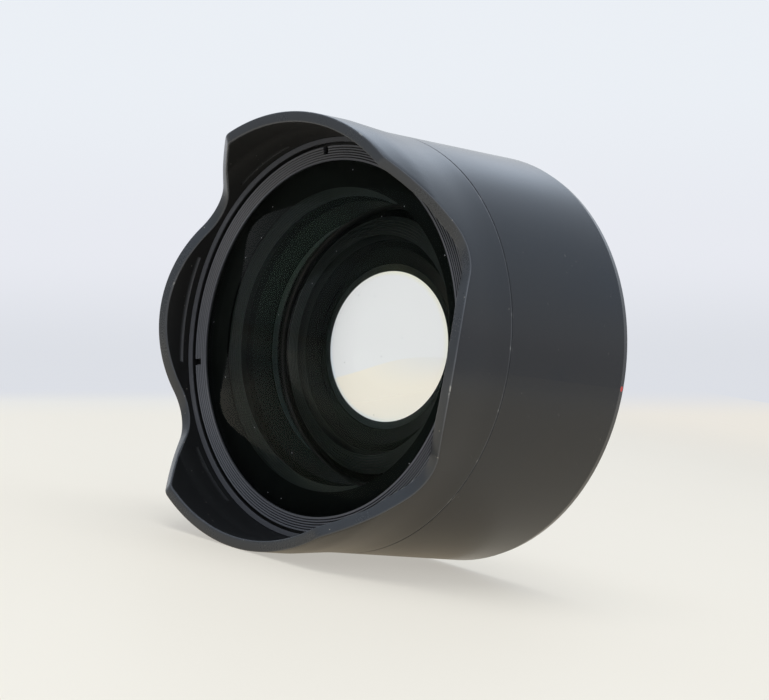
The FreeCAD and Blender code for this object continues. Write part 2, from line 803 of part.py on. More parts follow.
def main_barrel():
    """Inner tube that everything else is fixed to."""
    spigot_bore = cell_spigot_radius + slip_gap
    baffle_bore = baffle_flange_radius + slip_gap
    body = turned([
        (spigot_bore, main_front_y),
        (main_radius, main_front_y),
        (main_radius, cover_rear_y),
        (cover_seat_radius, cover_rear_y),
        (cover_seat_radius, cover_front_y),
        (main_bore_radius, cover_front_y),
        (main_bore_radius, shoulder_rear_y),
        (shoulder_bore_radius, shoulder_rear_y),
        (shoulder_bore_radius, shoulder_front_y),
        (main_bore_radius, shoulder_front_y),
        (main_bore_radius, baffle_seat_y),
        (baffle_bore, baffle_seat_y),
        (baffle_bore, baffle_front_y),
        (spigot_bore, baffle_front_y),
    ])
    body = body.cut(arm_slot())
    for screw_set in (hood_screw_set, cell_set_screw_set, cell_screw_set, bayonet_screw_set):
        body = with_holes(body, screw_set)
    return body


def shim_ring():
    """Thin ring that sets the rear cell's distance."""
    ring = tube(rear_cell_flange_radius - shim_edge_width, shoulder_bore_radius + shim_edge_width,
                shoulder_rear_y, rear_cell_flange_front_y)
    return with_holes(ring, cell_screw_set)


def rear_cell():
    """Cell with the cemented pair at its front and the rear element at its back."""
    thread_bore = doublet_thread_bore_radius
    doublet_bore = doublet_edge_radius + glass_gap
    element_bore = rear_element_edge_radius + glass_gap
    rear_thread_bore = rear_thread_bore_radius
    rear_y = rear_cell_rear_y
    body = turned([
        (thread_bore, rear_cell_front_y),
        (rear_cell_front_radius, rear_cell_front_y),
        (rear_cell_front_radius, rear_cell_flange_front_y),
        (rear_cell_flange_radius, rear_cell_flange_front_y),
        (rear_cell_flange_radius, rear_cell_flange_rear_y),
        (rear_cell_rear_radius, rear_cell_flange_rear_y),
        (rear_cell_rear_radius, rear_y),
        (rear_thread_bore, rear_y),
        (rear_thread_bore, rear_element_rear_land_y - face_gap),
        (element_bore, rear_element_rear_land_y - face_gap),
        (element_bore, rear_element_seat_y),
        (rear_element_clear_radius, rear_element_seat_y),
        (doublet_rear_clear_radius, doublet_seat_y),
        (doublet_bore, doublet_seat_y),
        (doublet_bore, doublet_front_land_y + face_gap),
        (thread_bore, doublet_front_land_y + face_gap),
    ])
    return with_holes(body, cell_screw_set)


def stepped_cone(start, end, count):
    """Points of a stepped cone between two (radius, y) points, first across, then along."""
    points = []
    for i in range(count):
        radius = start[0] + (end[0] - start[0]) * (i + 1) / count
        before_y = start[1] + (end[1] - start[1]) * i / count
        after_y = start[1] + (end[1] - start[1]) * (i + 1) / count
        points += [(radius, before_y), (radius, after_y)]
    return points


def doublet_retaining_ring():
    """Stepped threaded ring in front of the cemented pair."""
    front_y = rear_cell_front_y + face_gap
    cone_start = (doublet_ring_inner_radius, doublet_front_land_y - doublet_ring_lip_height)
    cone_end = (doublet_ring_radius - doublet_ring_rim_width, front_y)
    return turned([
        (doublet_ring_inner_radius, doublet_front_land_y),
        cone_start,
        *stepped_cone(cone_start, cone_end, doublet_ring_step_count),
        (doublet_ring_radius, front_y),
        (doublet_ring_radius, doublet_front_land_y),
    ])


def doublet_front_element():
    """Negative half of the cemented pair."""
    return glass(doublet_front_y, doublet_front_radius, doublet_front_clear_radius,
                 doublet_joint_y - doublet_cement_thickness, doublet_joint_radius,
                 doublet_edge_radius, doublet_edge_radius)


def doublet_rear_element():
    """Positive half of the cemented pair."""
    return glass(doublet_joint_y, doublet_joint_radius, doublet_edge_radius,
                 doublet_rear_y, doublet_rear_radius, doublet_rear_clear_radius,
                 doublet_edge_radius)


def rear_element():
    """Positive element next to the socket."""
    return glass(rear_element_front_y, rear_element_front_radius, rear_element_clear_radius,
                 rear_element_rear_y, rear_element_rear_radius, rear_element_clear_radius,
                 rear_element_edge_radius)


def rear_retaining_ring():
    """Threaded ring behind the rear element; its bore is the clear opening."""
    lip_front_y = rear_element_rear_land_y + rear_ring_lip_gap
    lip_rear_y = lip_front_y + rear_ring_lip_height
    rear_y = rear_cell_rear_y + rear_ring_proud_height
    rim_radius = rear_ring_radius - rear_ring_rim_width
    body = turned([
        (rear_element_clear_radius, rear_element_rear_land_y),
        (rear_ring_radius, rear_element_rear_land_y),
        (rear_ring_radius, rear_y),
        (rim_radius, rear_y),
        (rear_ring_inner_radius, lip_rear_y),
        (rear_ring_inner_radius, lip_front_y),
        (rear_element_clear_radius, lip_front_y),
    ])
    notch = block(rear_ring_radius - rear_ring_notch_length, rear_ring_radius + 1,
                  rear_y - rear_ring_notch_depth, rear_y + 1, rear_ring_notch_width / 2)
    return body.cut(ring_of(notch, 2, 0))


def rear_cover():
    """Ring plate that closes the space round the rear cell."""
    plate = tube(cover_seat_radius - slip_gap, rear_cell_rear_radius + slip_gap,
                 cover_front_y, cover_rear_y)
    pin_hole = Part.makeCylinder(pin_radius + sliding_gap, 2 * cover_thickness,
                                 FreeCAD.Vector(-pin_circle_radius,
                                                cover_front_y - cover_thickness / 2, 0),
                                 FreeCAD.Vector(0, 1, 0))
    return plate.cut(pin_hole)


def cushion_ring():
    """Felt ring that the mating lens rests on."""
    return tube(cushion_outer_radius, cushion_inner_radius, cover_rear_y,
                cover_rear_y + cushion_thickness)


def bayonet_ring():
    """Socket ring whose rear face is the mounting flange. Behind a plain lead-in wall it is
    undercut, with three tabs that hold the mating lens's lugs."""
    tab_rear_y = -lead_wall_length
    tab_front_y = tab_rear_y - tab_thickness
    body = turned([
        (undercut_radius, cover_rear_y),
        (main_radius, cover_rear_y),
        (main_radius, -flange_lip_thickness),
        (flange_lip_radius, -flange_lip_thickness),
        (flange_lip_radius, 0),
        (socket_radius, 0),
        (socket_radius, tab_rear_y),
        (undercut_radius, tab_rear_y),
    ])
    tab = sector(bayonet_screw_circle_radius, tab_inner_radius, tab_front_y, tab_rear_y,
                 tab_angle)
    for piece in ring_of(tab, tab_count, first_tab_angle):
        body = body.fuse(piece)
    return with_holes(body.removeSplitter(), bayonet_screw_set)


def bayonet_springs():
    """Flat leaf springs on the front of the tabs."""
    rear_y = -lead_wall_length - tab_thickness
    leaf = sector(undercut_radius - leaf_gap, tab_inner_radius + leaf_edge_width,
                  rear_y - leaf_thickness, rear_y, leaf_angle)
    return Part.makeCompound(ring_of(leaf, tab_count, first_tab_angle))


def slider_carrier():
    """Arm through both barrels with a foot inside that carries the lock pin."""
    arm = block(-knob_boss_inner_radius, -(foot_outer_radius - foot_joint_length),
                arm_front_y, arm_rear_y, arm_half_width)
    foot = block(-foot_outer_radius, -foot_inner_radius, arm_front_y, arm_rear_y,
                 foot_half_width)
    body = arm.fuse(foot).removeSplitter()
    return body.cut(lock_pin()).cut(screw_hole(knob_screw, knob_screw_head, knob_screw_way))


def lock_pin():
    """Pin that stands out of the cover and locks the mating lens's lug."""
    start = FreeCAD.Vector(-pin_circle_radius, arm_front_y, 0)
    length = cover_rear_y + pin_standing_height - arm_front_y
    return Part.makeCylinder(pin_radius, length, start, FreeCAD.Vector(0, 1, 0))


def release_slider():
    """Ridged thumb piece that slides in the outer barrel's recess."""
    room = block(-2 * barrel_radius, 0, knob_front_y, knob_rear_y, knob_half_width)
    shell = tube(knob_top_radius, knob_underside_radius, knob_front_y, knob_rear_y)
    pad = shell.common(room)
    middle = (knob_ridge_count - 1) / 2
    for i in range(knob_ridge_count):
        ridge_y = arm_middle_y + (i - middle) * knob_ridge_spacing
        groove = tube(2 * knob_top_radius, knob_top_radius - knob_ridge_depth,
                      ridge_y - knob_ridge_width / 2, ridge_y + knob_ridge_width / 2)
        pad = pad.cut(groove)
    boss = block(-(knob_top_radius + knob_underside_radius) / 2, -knob_boss_inner_radius,
                 arm_front_y, arm_rear_y, arm_half_width)
    pad = pad.fuse(boss).removeSplitter()
    return pad.cut(screw_hole(knob_screw, knob_screw_head, knob_screw_way))


def slider_screw():
    """Screw that joins the knob to the arm."""
    return screw(knob_screw, knob_screw_head, knob_screw_way)


def lock_spring():
    """Compression spring between the rear cell's flange and the carrier's foot."""
    front_y = rear_cell_flange_rear_y + spring_wire_radius + spring_end_gap
    rear_y = arm_front_y - spring_wire_radius - spring_end_gap
    length = rear_y - front_y
    pitch = length / spring_turn_count
    helix = Part.makeHelix(pitch, length, spring_coil_radius)
    start = FreeCAD.Vector(spring_coil_radius, 0, 0)
    climb = FreeCAD.Vector(0, spring_coil_radius, pitch / (2 * math.pi))
    ring = Part.Wire(Part.makeCircle(spring_wire_radius, start, climb))
    coil = Part.Wire(helix).makePipeShell([ring], True, True)
    middle_radius = (foot_outer_radius + foot_inner_radius) / 2
    turn = FreeCAD.Rotation(FreeCAD.Vector(0, 0, 1), FreeCAD.Vector(0, 1, 0))
    coil.Placement = FreeCAD.Placement(FreeCAD.Vector(-middle_radius, front_y, 0), turn)
    return coil


pieces = {
    "petal_hood": petal_hood(),
    "outer_barrel": outer_barrel(),
    "index_dot": index_dot(),
    "main_barrel": main_barrel(),
    "front_cell": front_cell(),
    "front_seal": front_seal(),
    "front_retaining_ring": front_retaining_ring(),
    "front_element": front_element(),
    "light_baffle": light_baffle(),
    "shim_ring": shim_ring(),
    "rear_cell": rear_cell(),
    "doublet_retaining_ring": doublet_retaining_ring(),
    "doublet_front_element": doublet_front_element(),
    "doublet_rear_element": doublet_rear_element(),
    "rear_element": rear_element(),
    "rear_retaining_ring": rear_retaining_ring(),
    "rear_cover": rear_cover(),
    "cushion_ring": cushion_ring(),
    "bayonet_ring": bayonet_ring(),
    "bayonet_springs": bayonet_springs(),
    "slider_carrier": slider_carrier(),
    "lock_pin": lock_pin(),
    "release_slider": release_slider(),
    "slider_screw": slider_screw(),
    "lock_spring": lock_spring(),
    "hood_screws": screws(hood_screw_set),
    "cell_set_screws": screws(cell_set_screw_set),
    "cell_screws": screws(cell_screw_set),
    "bayonet_screws": screws(bayonet_screw_set),
}

os.makedirs("parts", exist_ok=True)
for name, shape in pieces.items():
    shape.exportStep("parts/" + name + ".step")
    print(name, len(shape.Solids), "solids", round(shape.Volume, 2), "cubic millimetres")
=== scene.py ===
import math

import bmesh
import bpy
from mathutils import Matrix, Vector


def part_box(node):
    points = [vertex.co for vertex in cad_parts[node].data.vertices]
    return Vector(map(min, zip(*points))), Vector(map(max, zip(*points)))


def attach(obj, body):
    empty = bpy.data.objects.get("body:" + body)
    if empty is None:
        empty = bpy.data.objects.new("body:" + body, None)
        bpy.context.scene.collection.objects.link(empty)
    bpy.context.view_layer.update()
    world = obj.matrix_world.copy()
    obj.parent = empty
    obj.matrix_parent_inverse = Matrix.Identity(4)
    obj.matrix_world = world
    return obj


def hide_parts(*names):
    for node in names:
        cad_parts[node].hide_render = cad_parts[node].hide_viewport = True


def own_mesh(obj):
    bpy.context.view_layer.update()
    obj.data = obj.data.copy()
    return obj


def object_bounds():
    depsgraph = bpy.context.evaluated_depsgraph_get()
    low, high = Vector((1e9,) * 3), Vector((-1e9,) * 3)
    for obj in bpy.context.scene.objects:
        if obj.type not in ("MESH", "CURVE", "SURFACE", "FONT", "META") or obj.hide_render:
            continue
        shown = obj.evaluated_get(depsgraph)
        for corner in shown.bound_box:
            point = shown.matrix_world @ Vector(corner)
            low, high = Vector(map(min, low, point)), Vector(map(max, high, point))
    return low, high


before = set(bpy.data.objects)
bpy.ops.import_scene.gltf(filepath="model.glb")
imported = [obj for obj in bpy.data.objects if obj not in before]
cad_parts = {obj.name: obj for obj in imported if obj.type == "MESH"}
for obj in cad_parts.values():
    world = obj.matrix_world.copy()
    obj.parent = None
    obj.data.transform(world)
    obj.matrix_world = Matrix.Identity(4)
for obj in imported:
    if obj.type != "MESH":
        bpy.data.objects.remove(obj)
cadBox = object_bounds()
print("frame loaded:", len(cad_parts), "nodes")


# Shader sockets that Python's operators work on, and one way to make any other node

class Value:
    def __init__(self, finish, socket):
        self.finish = finish
        self.socket = socket

    def maths(self, operation, *others):
        return self.finish.node("ShaderNodeMath", {"operation": operation},
                                {i: v for i, v in enumerate((self, *others))})

    def __add__(self, other):
        return self.maths("ADD", other)

    def __radd__(self, other):
        return self.maths("ADD", other)

    def __mul__(self, other):
        return self.maths("MULTIPLY", other)

    def __rmul__(self, other):
        return self.maths("MULTIPLY", other)

    def __sub__(self, other):
        return self.maths("SUBTRACT", other)

    def __rsub__(self, other):
        return (self * -1) + other

    def __pow__(self, other):
        return self.maths("POWER", other)

    def __abs__(self):
        return self.maths("ABSOLUTE")

    def also(self, output):
        return Value(self.finish, self.socket.node.outputs[output])


class Nodes:
    def __init__(self, tree):
        self.tree = tree
        tree.nodes.clear()

    def node(self, kind, settings, inputs):
        made = self.tree.nodes.new(kind)
        for name, setting in settings.items():
            setattr(made, name, setting)
        for name, value in inputs.items():
            if isinstance(value, Value):
                self.tree.links.new(value.socket, made.inputs[name])
            else:
                made.inputs[name].default_value = value
        return Value(self, made.outputs[0] if made.outputs else made.inputs[0])

    def parts(self, vector):
        x = self.node("ShaderNodeSeparateXYZ", {}, {0: vector})
        return x, x.also("Y"), x.also("Z")

    def ease(self, value, start, end, low=0.0, high=1.0):
        return self.node("ShaderNodeMapRange", {"interpolation_type": "SMOOTHSTEP"},
                         {"Value": value, "From Min": start, "From Max": end,
                          "To Min": low, "To Max": high})

    def colours(self, factor, first, second):
        mixed = self.node("ShaderNodeMix", {"data_type": "RGBA"},
                          {0: factor, 6: first, 7: second})
        return mixed.also(2)

    def vector(self, numbers):
        return self.node("ShaderNodeCombineXYZ", {}, dict(enumerate(numbers)))

    def dot(self, first, second):
        return self.node("ShaderNodeVectorMath", {"operation": "DOT_PRODUCT"},
                         {0: first, 1: second}).also("Value")


class Finish(Nodes):
    def __init__(self, name, constants=None):
        self.material = bpy.data.materials.new(name)
        self.material.use_nodes = True
        super().__init__(self.material.node_tree)
        self.shader = self.node("ShaderNodeBsdfPrincipled", {}, constants or {})
        self.output = self.node("ShaderNodeOutputMaterial", {}, {"Surface": self.shader})
        coordinates = self.node("ShaderNodeTexCoord", {}, {})
        self.place = coordinates.also("Object")
        self.facing = coordinates.also("Normal")

    def noise(self, scale, detail=2.0, rough=0.5):
        return self.node("ShaderNodeTexNoise", {},
                         {"Vector": self.place, "Scale": scale, "Detail": detail,
                          "Roughness": rough})

    def height(self, value, distance, strength, normal=None):
        inputs = {"Height": value, "Distance": distance, "Strength": strength}
        if normal:
            inputs["Normal"] = normal
        return self.node("ShaderNodeBump", {}, inputs)

    def roundedEdge(self, radius):
        return self.node("ShaderNodeBevel", {"samples": 4}, {"Radius": radius})

    def feed(self, name, value):
        self.tree.links.new(value.socket, self.shader.socket.node.inputs[name])

    def attribute(self, name):
        return self.node("ShaderNodeAttribute", {"attribute_name": name}, {}).also("Fac")

    def cover(self, share, shader):
        # another shader lies over what is there where share is 1
        under = self.output.socket.node.inputs["Surface"].links[0].from_socket
        mixed = self.node("ShaderNodeMixShader", {},
                          {0: share, 1: Value(self, under), 2: shader})
        self.tree.links.new(mixed.socket, self.output.socket.node.inputs["Surface"])


def give(finish, *nodeNames):
    for name in nodeNames:
        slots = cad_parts[name].data.materials
        slots.clear()
        slots.append(finish.material)


def outward(finish):
    # how much the surface faces away from the optical axis, from -1 to 1
    x, y, z = finish.parts(finish.place)
    radial = finish.node("ShaderNodeCombineXYZ", {}, {0: x, 2: z})
    unit = finish.node("ShaderNodeVectorMath", {"operation": "NORMALIZE"}, {0: radial})
    return finish.dot(unit, finish.facing)


def axisRadius(finish):
    x, y, z = finish.parts(finish.place)
    return (x * x + z * z) ** 0.5


def turnedShape(angles, sectionAt, closed=True, marks=()):
    # a grid bent round the axis: one column for each angle in degrees, one row for each point
    # (radius, y, marks...) of the section there, in millimetres
    rowCount = len(sectionAt(angles[0]))
    rowSteps = rowCount if closed else rowCount - 1
    work = bmesh.new()
    bmesh.ops.create_grid(work, x_segments=rowSteps, y_segments=len(angles), size=1.0)
    row = work.verts.layers.int.new("row")
    layers = [work.verts.layers.float.new(name) for name in marks]
    sections = [sectionAt(angle) for angle in angles]
    for vert in work.verts:
        vert[row] = round((vert.co.x + 1.0) / 2.0 * rowSteps)
        column = round((vert.co.y + 1.0) / 2.0 * len(angles)) % len(angles)
        radius, y, *shares = sections[column][vert[row] % rowCount]
        turn = math.radians(angles[column])
        vert.co = (radius * math.cos(turn) / 1000, y / 1000, radius * math.sin(turn) / 1000)
        for layer, share in zip(layers, shares):
            vert[layer] = share
    bmesh.ops.remove_doubles(work, verts=work.verts, dist=1e-7)
    bmesh.ops.recalc_face_normals(work, faces=work.faces)
    return work


def place(name, work, *finishes, sharpAngle=35.0):
    # turns a finished bmesh into a piece that stays in the part's own frame
    mesh = bpy.data.meshes.new(name)
    work.to_mesh(mesh)
    work.free()
    mesh.shade_smooth()
    mesh.set_sharp_from_angle(angle=math.radians(sharpAngle))
    for finish in finishes:
        mesh.materials.append(finish.material)
    piece = bpy.data.objects.new(name, mesh)
    bpy.context.scene.collection.objects.link(piece)
    return piece


def standsFor(piece, slotName, *nodeNames):
    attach(piece, "lens")
    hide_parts(*nodeNames)


def nodeSizes(name):
    # front y, rear y and outer radius of a CAD node in millimetres
    low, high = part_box(name)
    return low.y * 1000, high.y * 1000, high.z * 1000


# Satin black paint of the shells, with the matt inside of the hood and its worn rim; the lighter
# edges are worn paint and a painted highlight line

shellPaint = {
    "ior": 1.5,
    "paint": (0.0120, 0.0137, 0.0172, 1.0),
    "paintWarm": (0.0145, 0.0153, 0.0172, 1.0),
    "warmRange": (0.35, 0.7),
    "insideBlack": (0.0045, 0.0047, 0.0050, 1.0),
    "rimBlack": (0.0385, 0.043, 0.050, 1.0),
    # lighter edge colour: worn paint and a painted highlight line along the edges
    "rubbedEdgeAndHighlight": (0.150, 0.157, 0.174, 1.0),
    "rubbedHighlightShare": 0.5,
    "patchRubbedHighlightShare": 0.4,
    "bareMetal": (0.62, 0.62, 0.60, 1.0),
    "edgeRadius": 0.00012,
    "edgeTurn": (0.01, 0.12),
    "rough": 0.165,
    "insideRough": 0.62,
    "edgeRough": 0.05,
    "grainScale": 3600.0,
    "grainHeight": 0.000006,
    "grainStrength": 0.6,
    "grainRough": 0.05,
    "smudgeScale": 38.0,
    "smudgeRange": (0.3, 0.75),
    "smudgeRough": 0.06,
    "patchScale": 60.0,
    "patchRange": (0.50, 0.64),
    "chipScale": 520.0,
    "chipRange": (0.60, 0.68),
    "dust": (0.42, 0.40, 0.36, 1.0),
    "dustScale": 1500.0,
    "dustRange": (0.765, 0.80),
    "dustShare": 0.07,
    "rimDustShare": 0.6,
    "insideDustShare": 0.2,
    "barrelEdgeHighlightShare": 0.6,
    "barrelBoreFacing": (-0.85, -0.6),
    "barrelEndFacing": (0.55, 0.75),
    "barrelEndShare": 0.6,
}


def makeShellPaint(name, edge, inside, rim):
    # edge, inside and rim are functions that give each mask as a socket; the edge mask lays on the
    # lighter edge colour as worn paint and as a painted highlight
    s = shellPaint
    paint = Finish(name, {"IOR": s["ior"]})
    rounded = paint.roundedEdge(s["edgeRadius"])
    edge, inside, rim = edge(paint, rounded), inside(paint), rim(paint)
    grain = paint.noise(s["grainScale"])
    smudge = paint.noise(s["smudgeScale"], 3.0, 0.6)
    patch = paint.ease(paint.noise(s["patchScale"]), *s["patchRange"])
    chips = paint.ease(paint.noise(s["chipScale"], 3.0, 0.6), *s["chipRange"])
    specks = paint.ease(paint.noise(s["dustScale"], 1.0, 0.4), *s["dustRange"])
    worn = edge * chips * patch
    # edges get worn paint and a painted highlight, stronger in patches
    rubbedAndLit = edge * (s["rubbedHighlightShare"] + patch * s["patchRubbedHighlightShare"])
    dusty = s["dustShare"] + rim * s["rimDustShare"] + inside * s["insideDustShare"]
    body = paint.colours(paint.ease(smudge, *s["warmRange"]), s["paint"], s["paintWarm"])
    body = paint.colours(rim, body, s["rimBlack"])
    body = paint.colours(inside, body, s["insideBlack"])
    body = paint.colours(rubbedAndLit, body, s["rubbedEdgeAndHighlight"])
    body = paint.colours(specks * dusty, body, s["dust"])
    paint.feed("Base Color", paint.colours(worn, body, s["bareMetal"]))
    rough = s["rough"] + paint.ease(smudge, *s["smudgeRange"], 0.0, s["smudgeRough"])
    rough = rough + grain * s["grainRough"] + inside * (s["insideRough"] - s["rough"])
    paint.feed("Roughness", rough + (rim - edge) * s["edgeRough"])
    paint.feed("Metallic", worn)
    paint.feed("Normal", paint.height(grain, s["grainHeight"], s["grainStrength"], rounded))
    return paint


def sharpEdges(finish, rounded):
    # 1 where the rounded normal turns away from the flat one
    sharp = finish.node("ShaderNodeNewGeometry", {}, {}).also("Normal")
    return finish.ease(1 - finish.dot(rounded, sharp), *shellPaint["edgeTurn"])


# the barrel's sharp edges get worn paint and a painted highlight
def barrelEdgeWearAndHighlight(paint, rounded):
    return sharpEdges(paint, rounded) * shellPaint["barrelEdgeHighlightShare"]


def barrelBore(paint):
    return paint.ease(outward(paint), *shellPaint["barrelBoreFacing"], 1.0, 0.0)


def barrelEnds(paint):
    s = shellPaint
    return paint.ease(abs(outward(paint)), *s["barrelEndFacing"], s["barrelEndShare"], 0.0)


barrelPaint = makeShellPaint("satinBlackPaint", barrelEdgeWearAndHighlight, barrelBore, barrelEnds)
# the hood's edge share from its mesh lays on worn paint and a painted highlight
hoodPaint = makeShellPaint("satinBlackHoodPaint",
                           lambda paint, rounded: paint.attribute("edgeWearAndHighlight"),
                           lambda paint: paint.attribute("innerShare"),
                           lambda paint: paint.attribute("rimShare"))
give(barrelPaint, "outer_barrel", "release_slider")
print("shell paint done")


# Petal hood: a section spun round the axis and drawn out to the petals' edge, with its sizes in
# millimetres, its angles in degrees and its planes as places along y

hood = {
    "barrelRadius": 39.4,
    "boreRadius": 37.5,
    "skirtRadius": 38.3,
    "ringPlane": -38.5994,
    "seam": -30.7994,
    "skirtEnd": -26.7994,
    "seamBreak": 0.15,
    "tallReach": 14.0,
    "shortReach": 6.9,
    "valleyReach": 2.15,
    "valleyAngle": 59.9,
    "valleyRadius": 9.8,
    "sideSlope": 36.8,
    "cornerRadius": 3.0,
    "flareFromSeam": 1.8,
    "flareReach": 7.4,
    "flareOut": 0.75,
    "innerFlareStart": 3.4,
    "flareIn": 0.65,
    "edgeRound": 0.26,
    "grooveDistance": 2.6,
    "grooveWidth": 0.7,
    "grooveDepth": 0.3,
    "grooveEdgeWidth": 0.15,
    "sideGrooveHalf": 15.5,
    "upperGrooveAngle": 36.5,
    "upperGrooveHalf": 10.5,
    # painted highlight on the groove edges, weaker on the upper grooves
    "upperGrooveHighlight": 0.25,
    "grooveFrontHighlight": 0.5,
    "seamWearAndHighlight": 0.5,
    "innerEdgeWearAndHighlight": 0.7,
    "slopeStep": 0.05,
    "spinSteps": 720,
    "wallRows": 14,
    "firstRow": 0.3,
    "rowGap": 0.02,
    "roundRows": 4,
}


def petalReach(angle):
    # how far the edge stands ahead of the ring plane; tall petals at 90 and 270 degrees
    s = hood
    perDegree = math.radians(1.0) * s["barrelRadius"]
    length = abs(angle % 180.0 - 90.0) * perDegree
    valley = s["valleyAngle"] * perDegree
    side = math.radians(s["sideSlope"])
    footLength = valley - s["valleyRadius"] * math.sin(side)
    footReach = s["valleyReach"] + s["valleyRadius"] * (1.0 - math.cos(side))
    sharpCorner = footLength - (s["tallReach"] - footReach) / math.tan(side)
    trim = s["cornerRadius"] * math.tan(side / 2)
    run = 90.0 * perDegree - valley
    drop = s["shortReach"] - s["valleyReach"]
    shortRadius = (run ** 2 + drop ** 2) / (2 * drop) - s["valleyRadius"]
    meeting = valley + run * s["valleyRadius"] / (s["valleyRadius"] + shortRadius)
    if length <= sharpCorner - trim:
        return s["tallReach"]
    if length <= sharpCorner + trim * math.cos(side):
        across = length - sharpCorner + trim
        corner = s["cornerRadius"]
        return s["tallReach"] - corner + math.sqrt(corner ** 2 - across ** 2)
    if length <= footLength:
        return footReach + (footLength - length) * math.tan(side)
    if length <= meeting:
        radius = s["valleyRadius"]
        return s["valleyReach"] + radius - math.sqrt(radius ** 2 - (length - valley) ** 2)
    fromShort = 90.0 * perDegree - length
    return s["shortReach"] - shortRadius + math.sqrt(shortRadius ** 2 - fromShort ** 2)


def arcRise(length, rise, along):
    # an arc leaves a cylinder smoothly: how far out it is part of the way along
    radius = (length ** 2 + rise ** 2) / (2 * rise)
    return radius - math.sqrt(radius ** 2 - along ** 2)


def outerRadius(y):
    s = hood
    arcLength = s["seam"] - s["flareFromSeam"] - s["ringPlane"]
    rise = s["flareOut"] * arcLength / (arcLength + 2 * s["flareReach"])
    ahead = s["ringPlane"] - y
    if ahead <= 0.0:
        return s["barrelRadius"] + arcRise(arcLength, rise, max(0.0, arcLength + ahead))
    share = min(1.0, ahead / s["flareReach"])
    return s["barrelRadius"] + rise + (s["flareOut"] - rise) * share


def innerRadius(y):
    s = hood
    ahead = min(s["flareReach"], max(s["innerFlareStart"], s["ringPlane"] - y))
    length = s["flareReach"] - s["innerFlareStart"]
    return s["boreRadius"] + arcRise(length, s["flareIn"], ahead - s["innerFlareStart"])


def grooveHighlight(angle):
    # how strong the painted highlight on the groove's edges is at an angle, or 0 where there is no
    # groove
    s = hood
    if abs((angle + 90.0) % 180.0 - 90.0) <= s["sideGrooveHalf"]:
        return 1.0
    aside = abs(abs(angle % 180.0 - 90.0) - s["upperGrooveAngle"])
    return s["upperGrooveHighlight"] if aside <= s["upperGrooveHalf"] else 0.0


def hoodSection(angle):
    # section of the shell at one angle as (radius, y, worn edge and painted highlight, inner,
    # rim), from the skirt's outside
    s = hood
    step = s["slopeStep"]
    slope = (petalReach(angle + step) - petalReach(angle - step)) / (
        2 * math.radians(step) * s["barrelRadius"])
    rimY = s["ringPlane"] - petalReach(angle)
    deep = s["edgeRound"] * math.sqrt(1.0 + slope ** 2)
    outer, inner = outerRadius(rimY), innerRadius(rimY)
    start = s["seam"] - s["seamBreak"]
    # the seam's edge gets worn paint and a painted highlight
    section = [(s["skirtRadius"], s["skirtEnd"], 0, 0, 0), (s["skirtRadius"], s["seam"], 0, 0, 0),
               (s["barrelRadius"] - s["seamBreak"], s["seam"], s["seamWearAndHighlight"], 0, 0),
               (s["barrelRadius"], start, s["seamWearAndHighlight"], 0, 0)]
    for k in range(s["wallRows"]):
        share = (k + s["firstRow"]) / (s["wallRows"] - 1 + s["firstRow"])
        y = start + (rimY + deep - start) * share
        section.append((outerRadius(y), y, 0, 0, 0))
    # the rim's outer rounded edge gets worn paint and a painted highlight, strongest at its
    # outside
    for k in range(1, s["roundRows"] + 1):
        turn = math.radians(90.0 * k / s["roundRows"])
        section.append((outer - s["edgeRound"] * (1 - math.cos(turn)),
                        rimY + deep * (1 - math.sin(turn)), 1.0 - k / s["roundRows"], 0, 1))
    section.append(((outer + inner) / 2, rimY, 0, 0, 1))
    # the rim's inner rounded edge gets worn paint and a painted highlight, strongest toward the
    # bore
    for k in range(s["roundRows"] + 1):
        turn = math.radians(90.0 * k / s["roundRows"])
        section.append((inner + s["edgeRound"] * (1 - math.sin(turn)),
                        rimY + deep * (1 - math.cos(turn)),
                        s["innerEdgeWearAndHighlight"] * k / s["roundRows"], 0, 1))
    grooveFront = s["ringPlane"] - s["grooveDistance"] - s["grooveWidth"] / 2
    grooveRear = grooveFront + s["grooveWidth"]
    grooveLight = grooveHighlight(angle)
    cut = s["grooveDepth"] if grooveLight else 0.0
    perRow = (grooveFront - rimY - deep) / s["wallRows"]
    rows = [(rimY + deep + perRow * (k + s["firstRow"]), 0.0, 0.0) for k in range(s["wallRows"])]
    # the groove's rear wall gets the full painted highlight, its front edge half
    rows += [(grooveFront, 0.0, s["grooveFrontHighlight"]), (grooveFront, cut, 0.0),
             (grooveRear, cut, 1.0), (grooveRear, 0.0, 1.0),
             (grooveRear + s["grooveEdgeWidth"], 0.0, 0.0), (s["ringPlane"], 0.0, 0.0)]
    for k, (y, depth, edge) in enumerate(rows):
        y = max(y, rimY + deep + s["rowGap"] * (k + 1))
        section.append((innerRadius(y) + depth, y, edge * grooveLight, 1, 0))
    section.append((s["boreRadius"], s["skirtEnd"], 0, 1, 0))
    return section


def makeHood():
    s = hood
    angles = [360.0 * k / s["spinSteps"] for k in range(s["spinSteps"])]
    work = turnedShape(angles, hoodSection, True, ("edgeWearAndHighlight", "innerShare", "rimShare"))
    standsFor(place("petalHoodShell", work, hoodPaint), "satin_black", "petal_hood")


makeHood()
print("petal hood done")


# Turned and blackened rings round the front glass

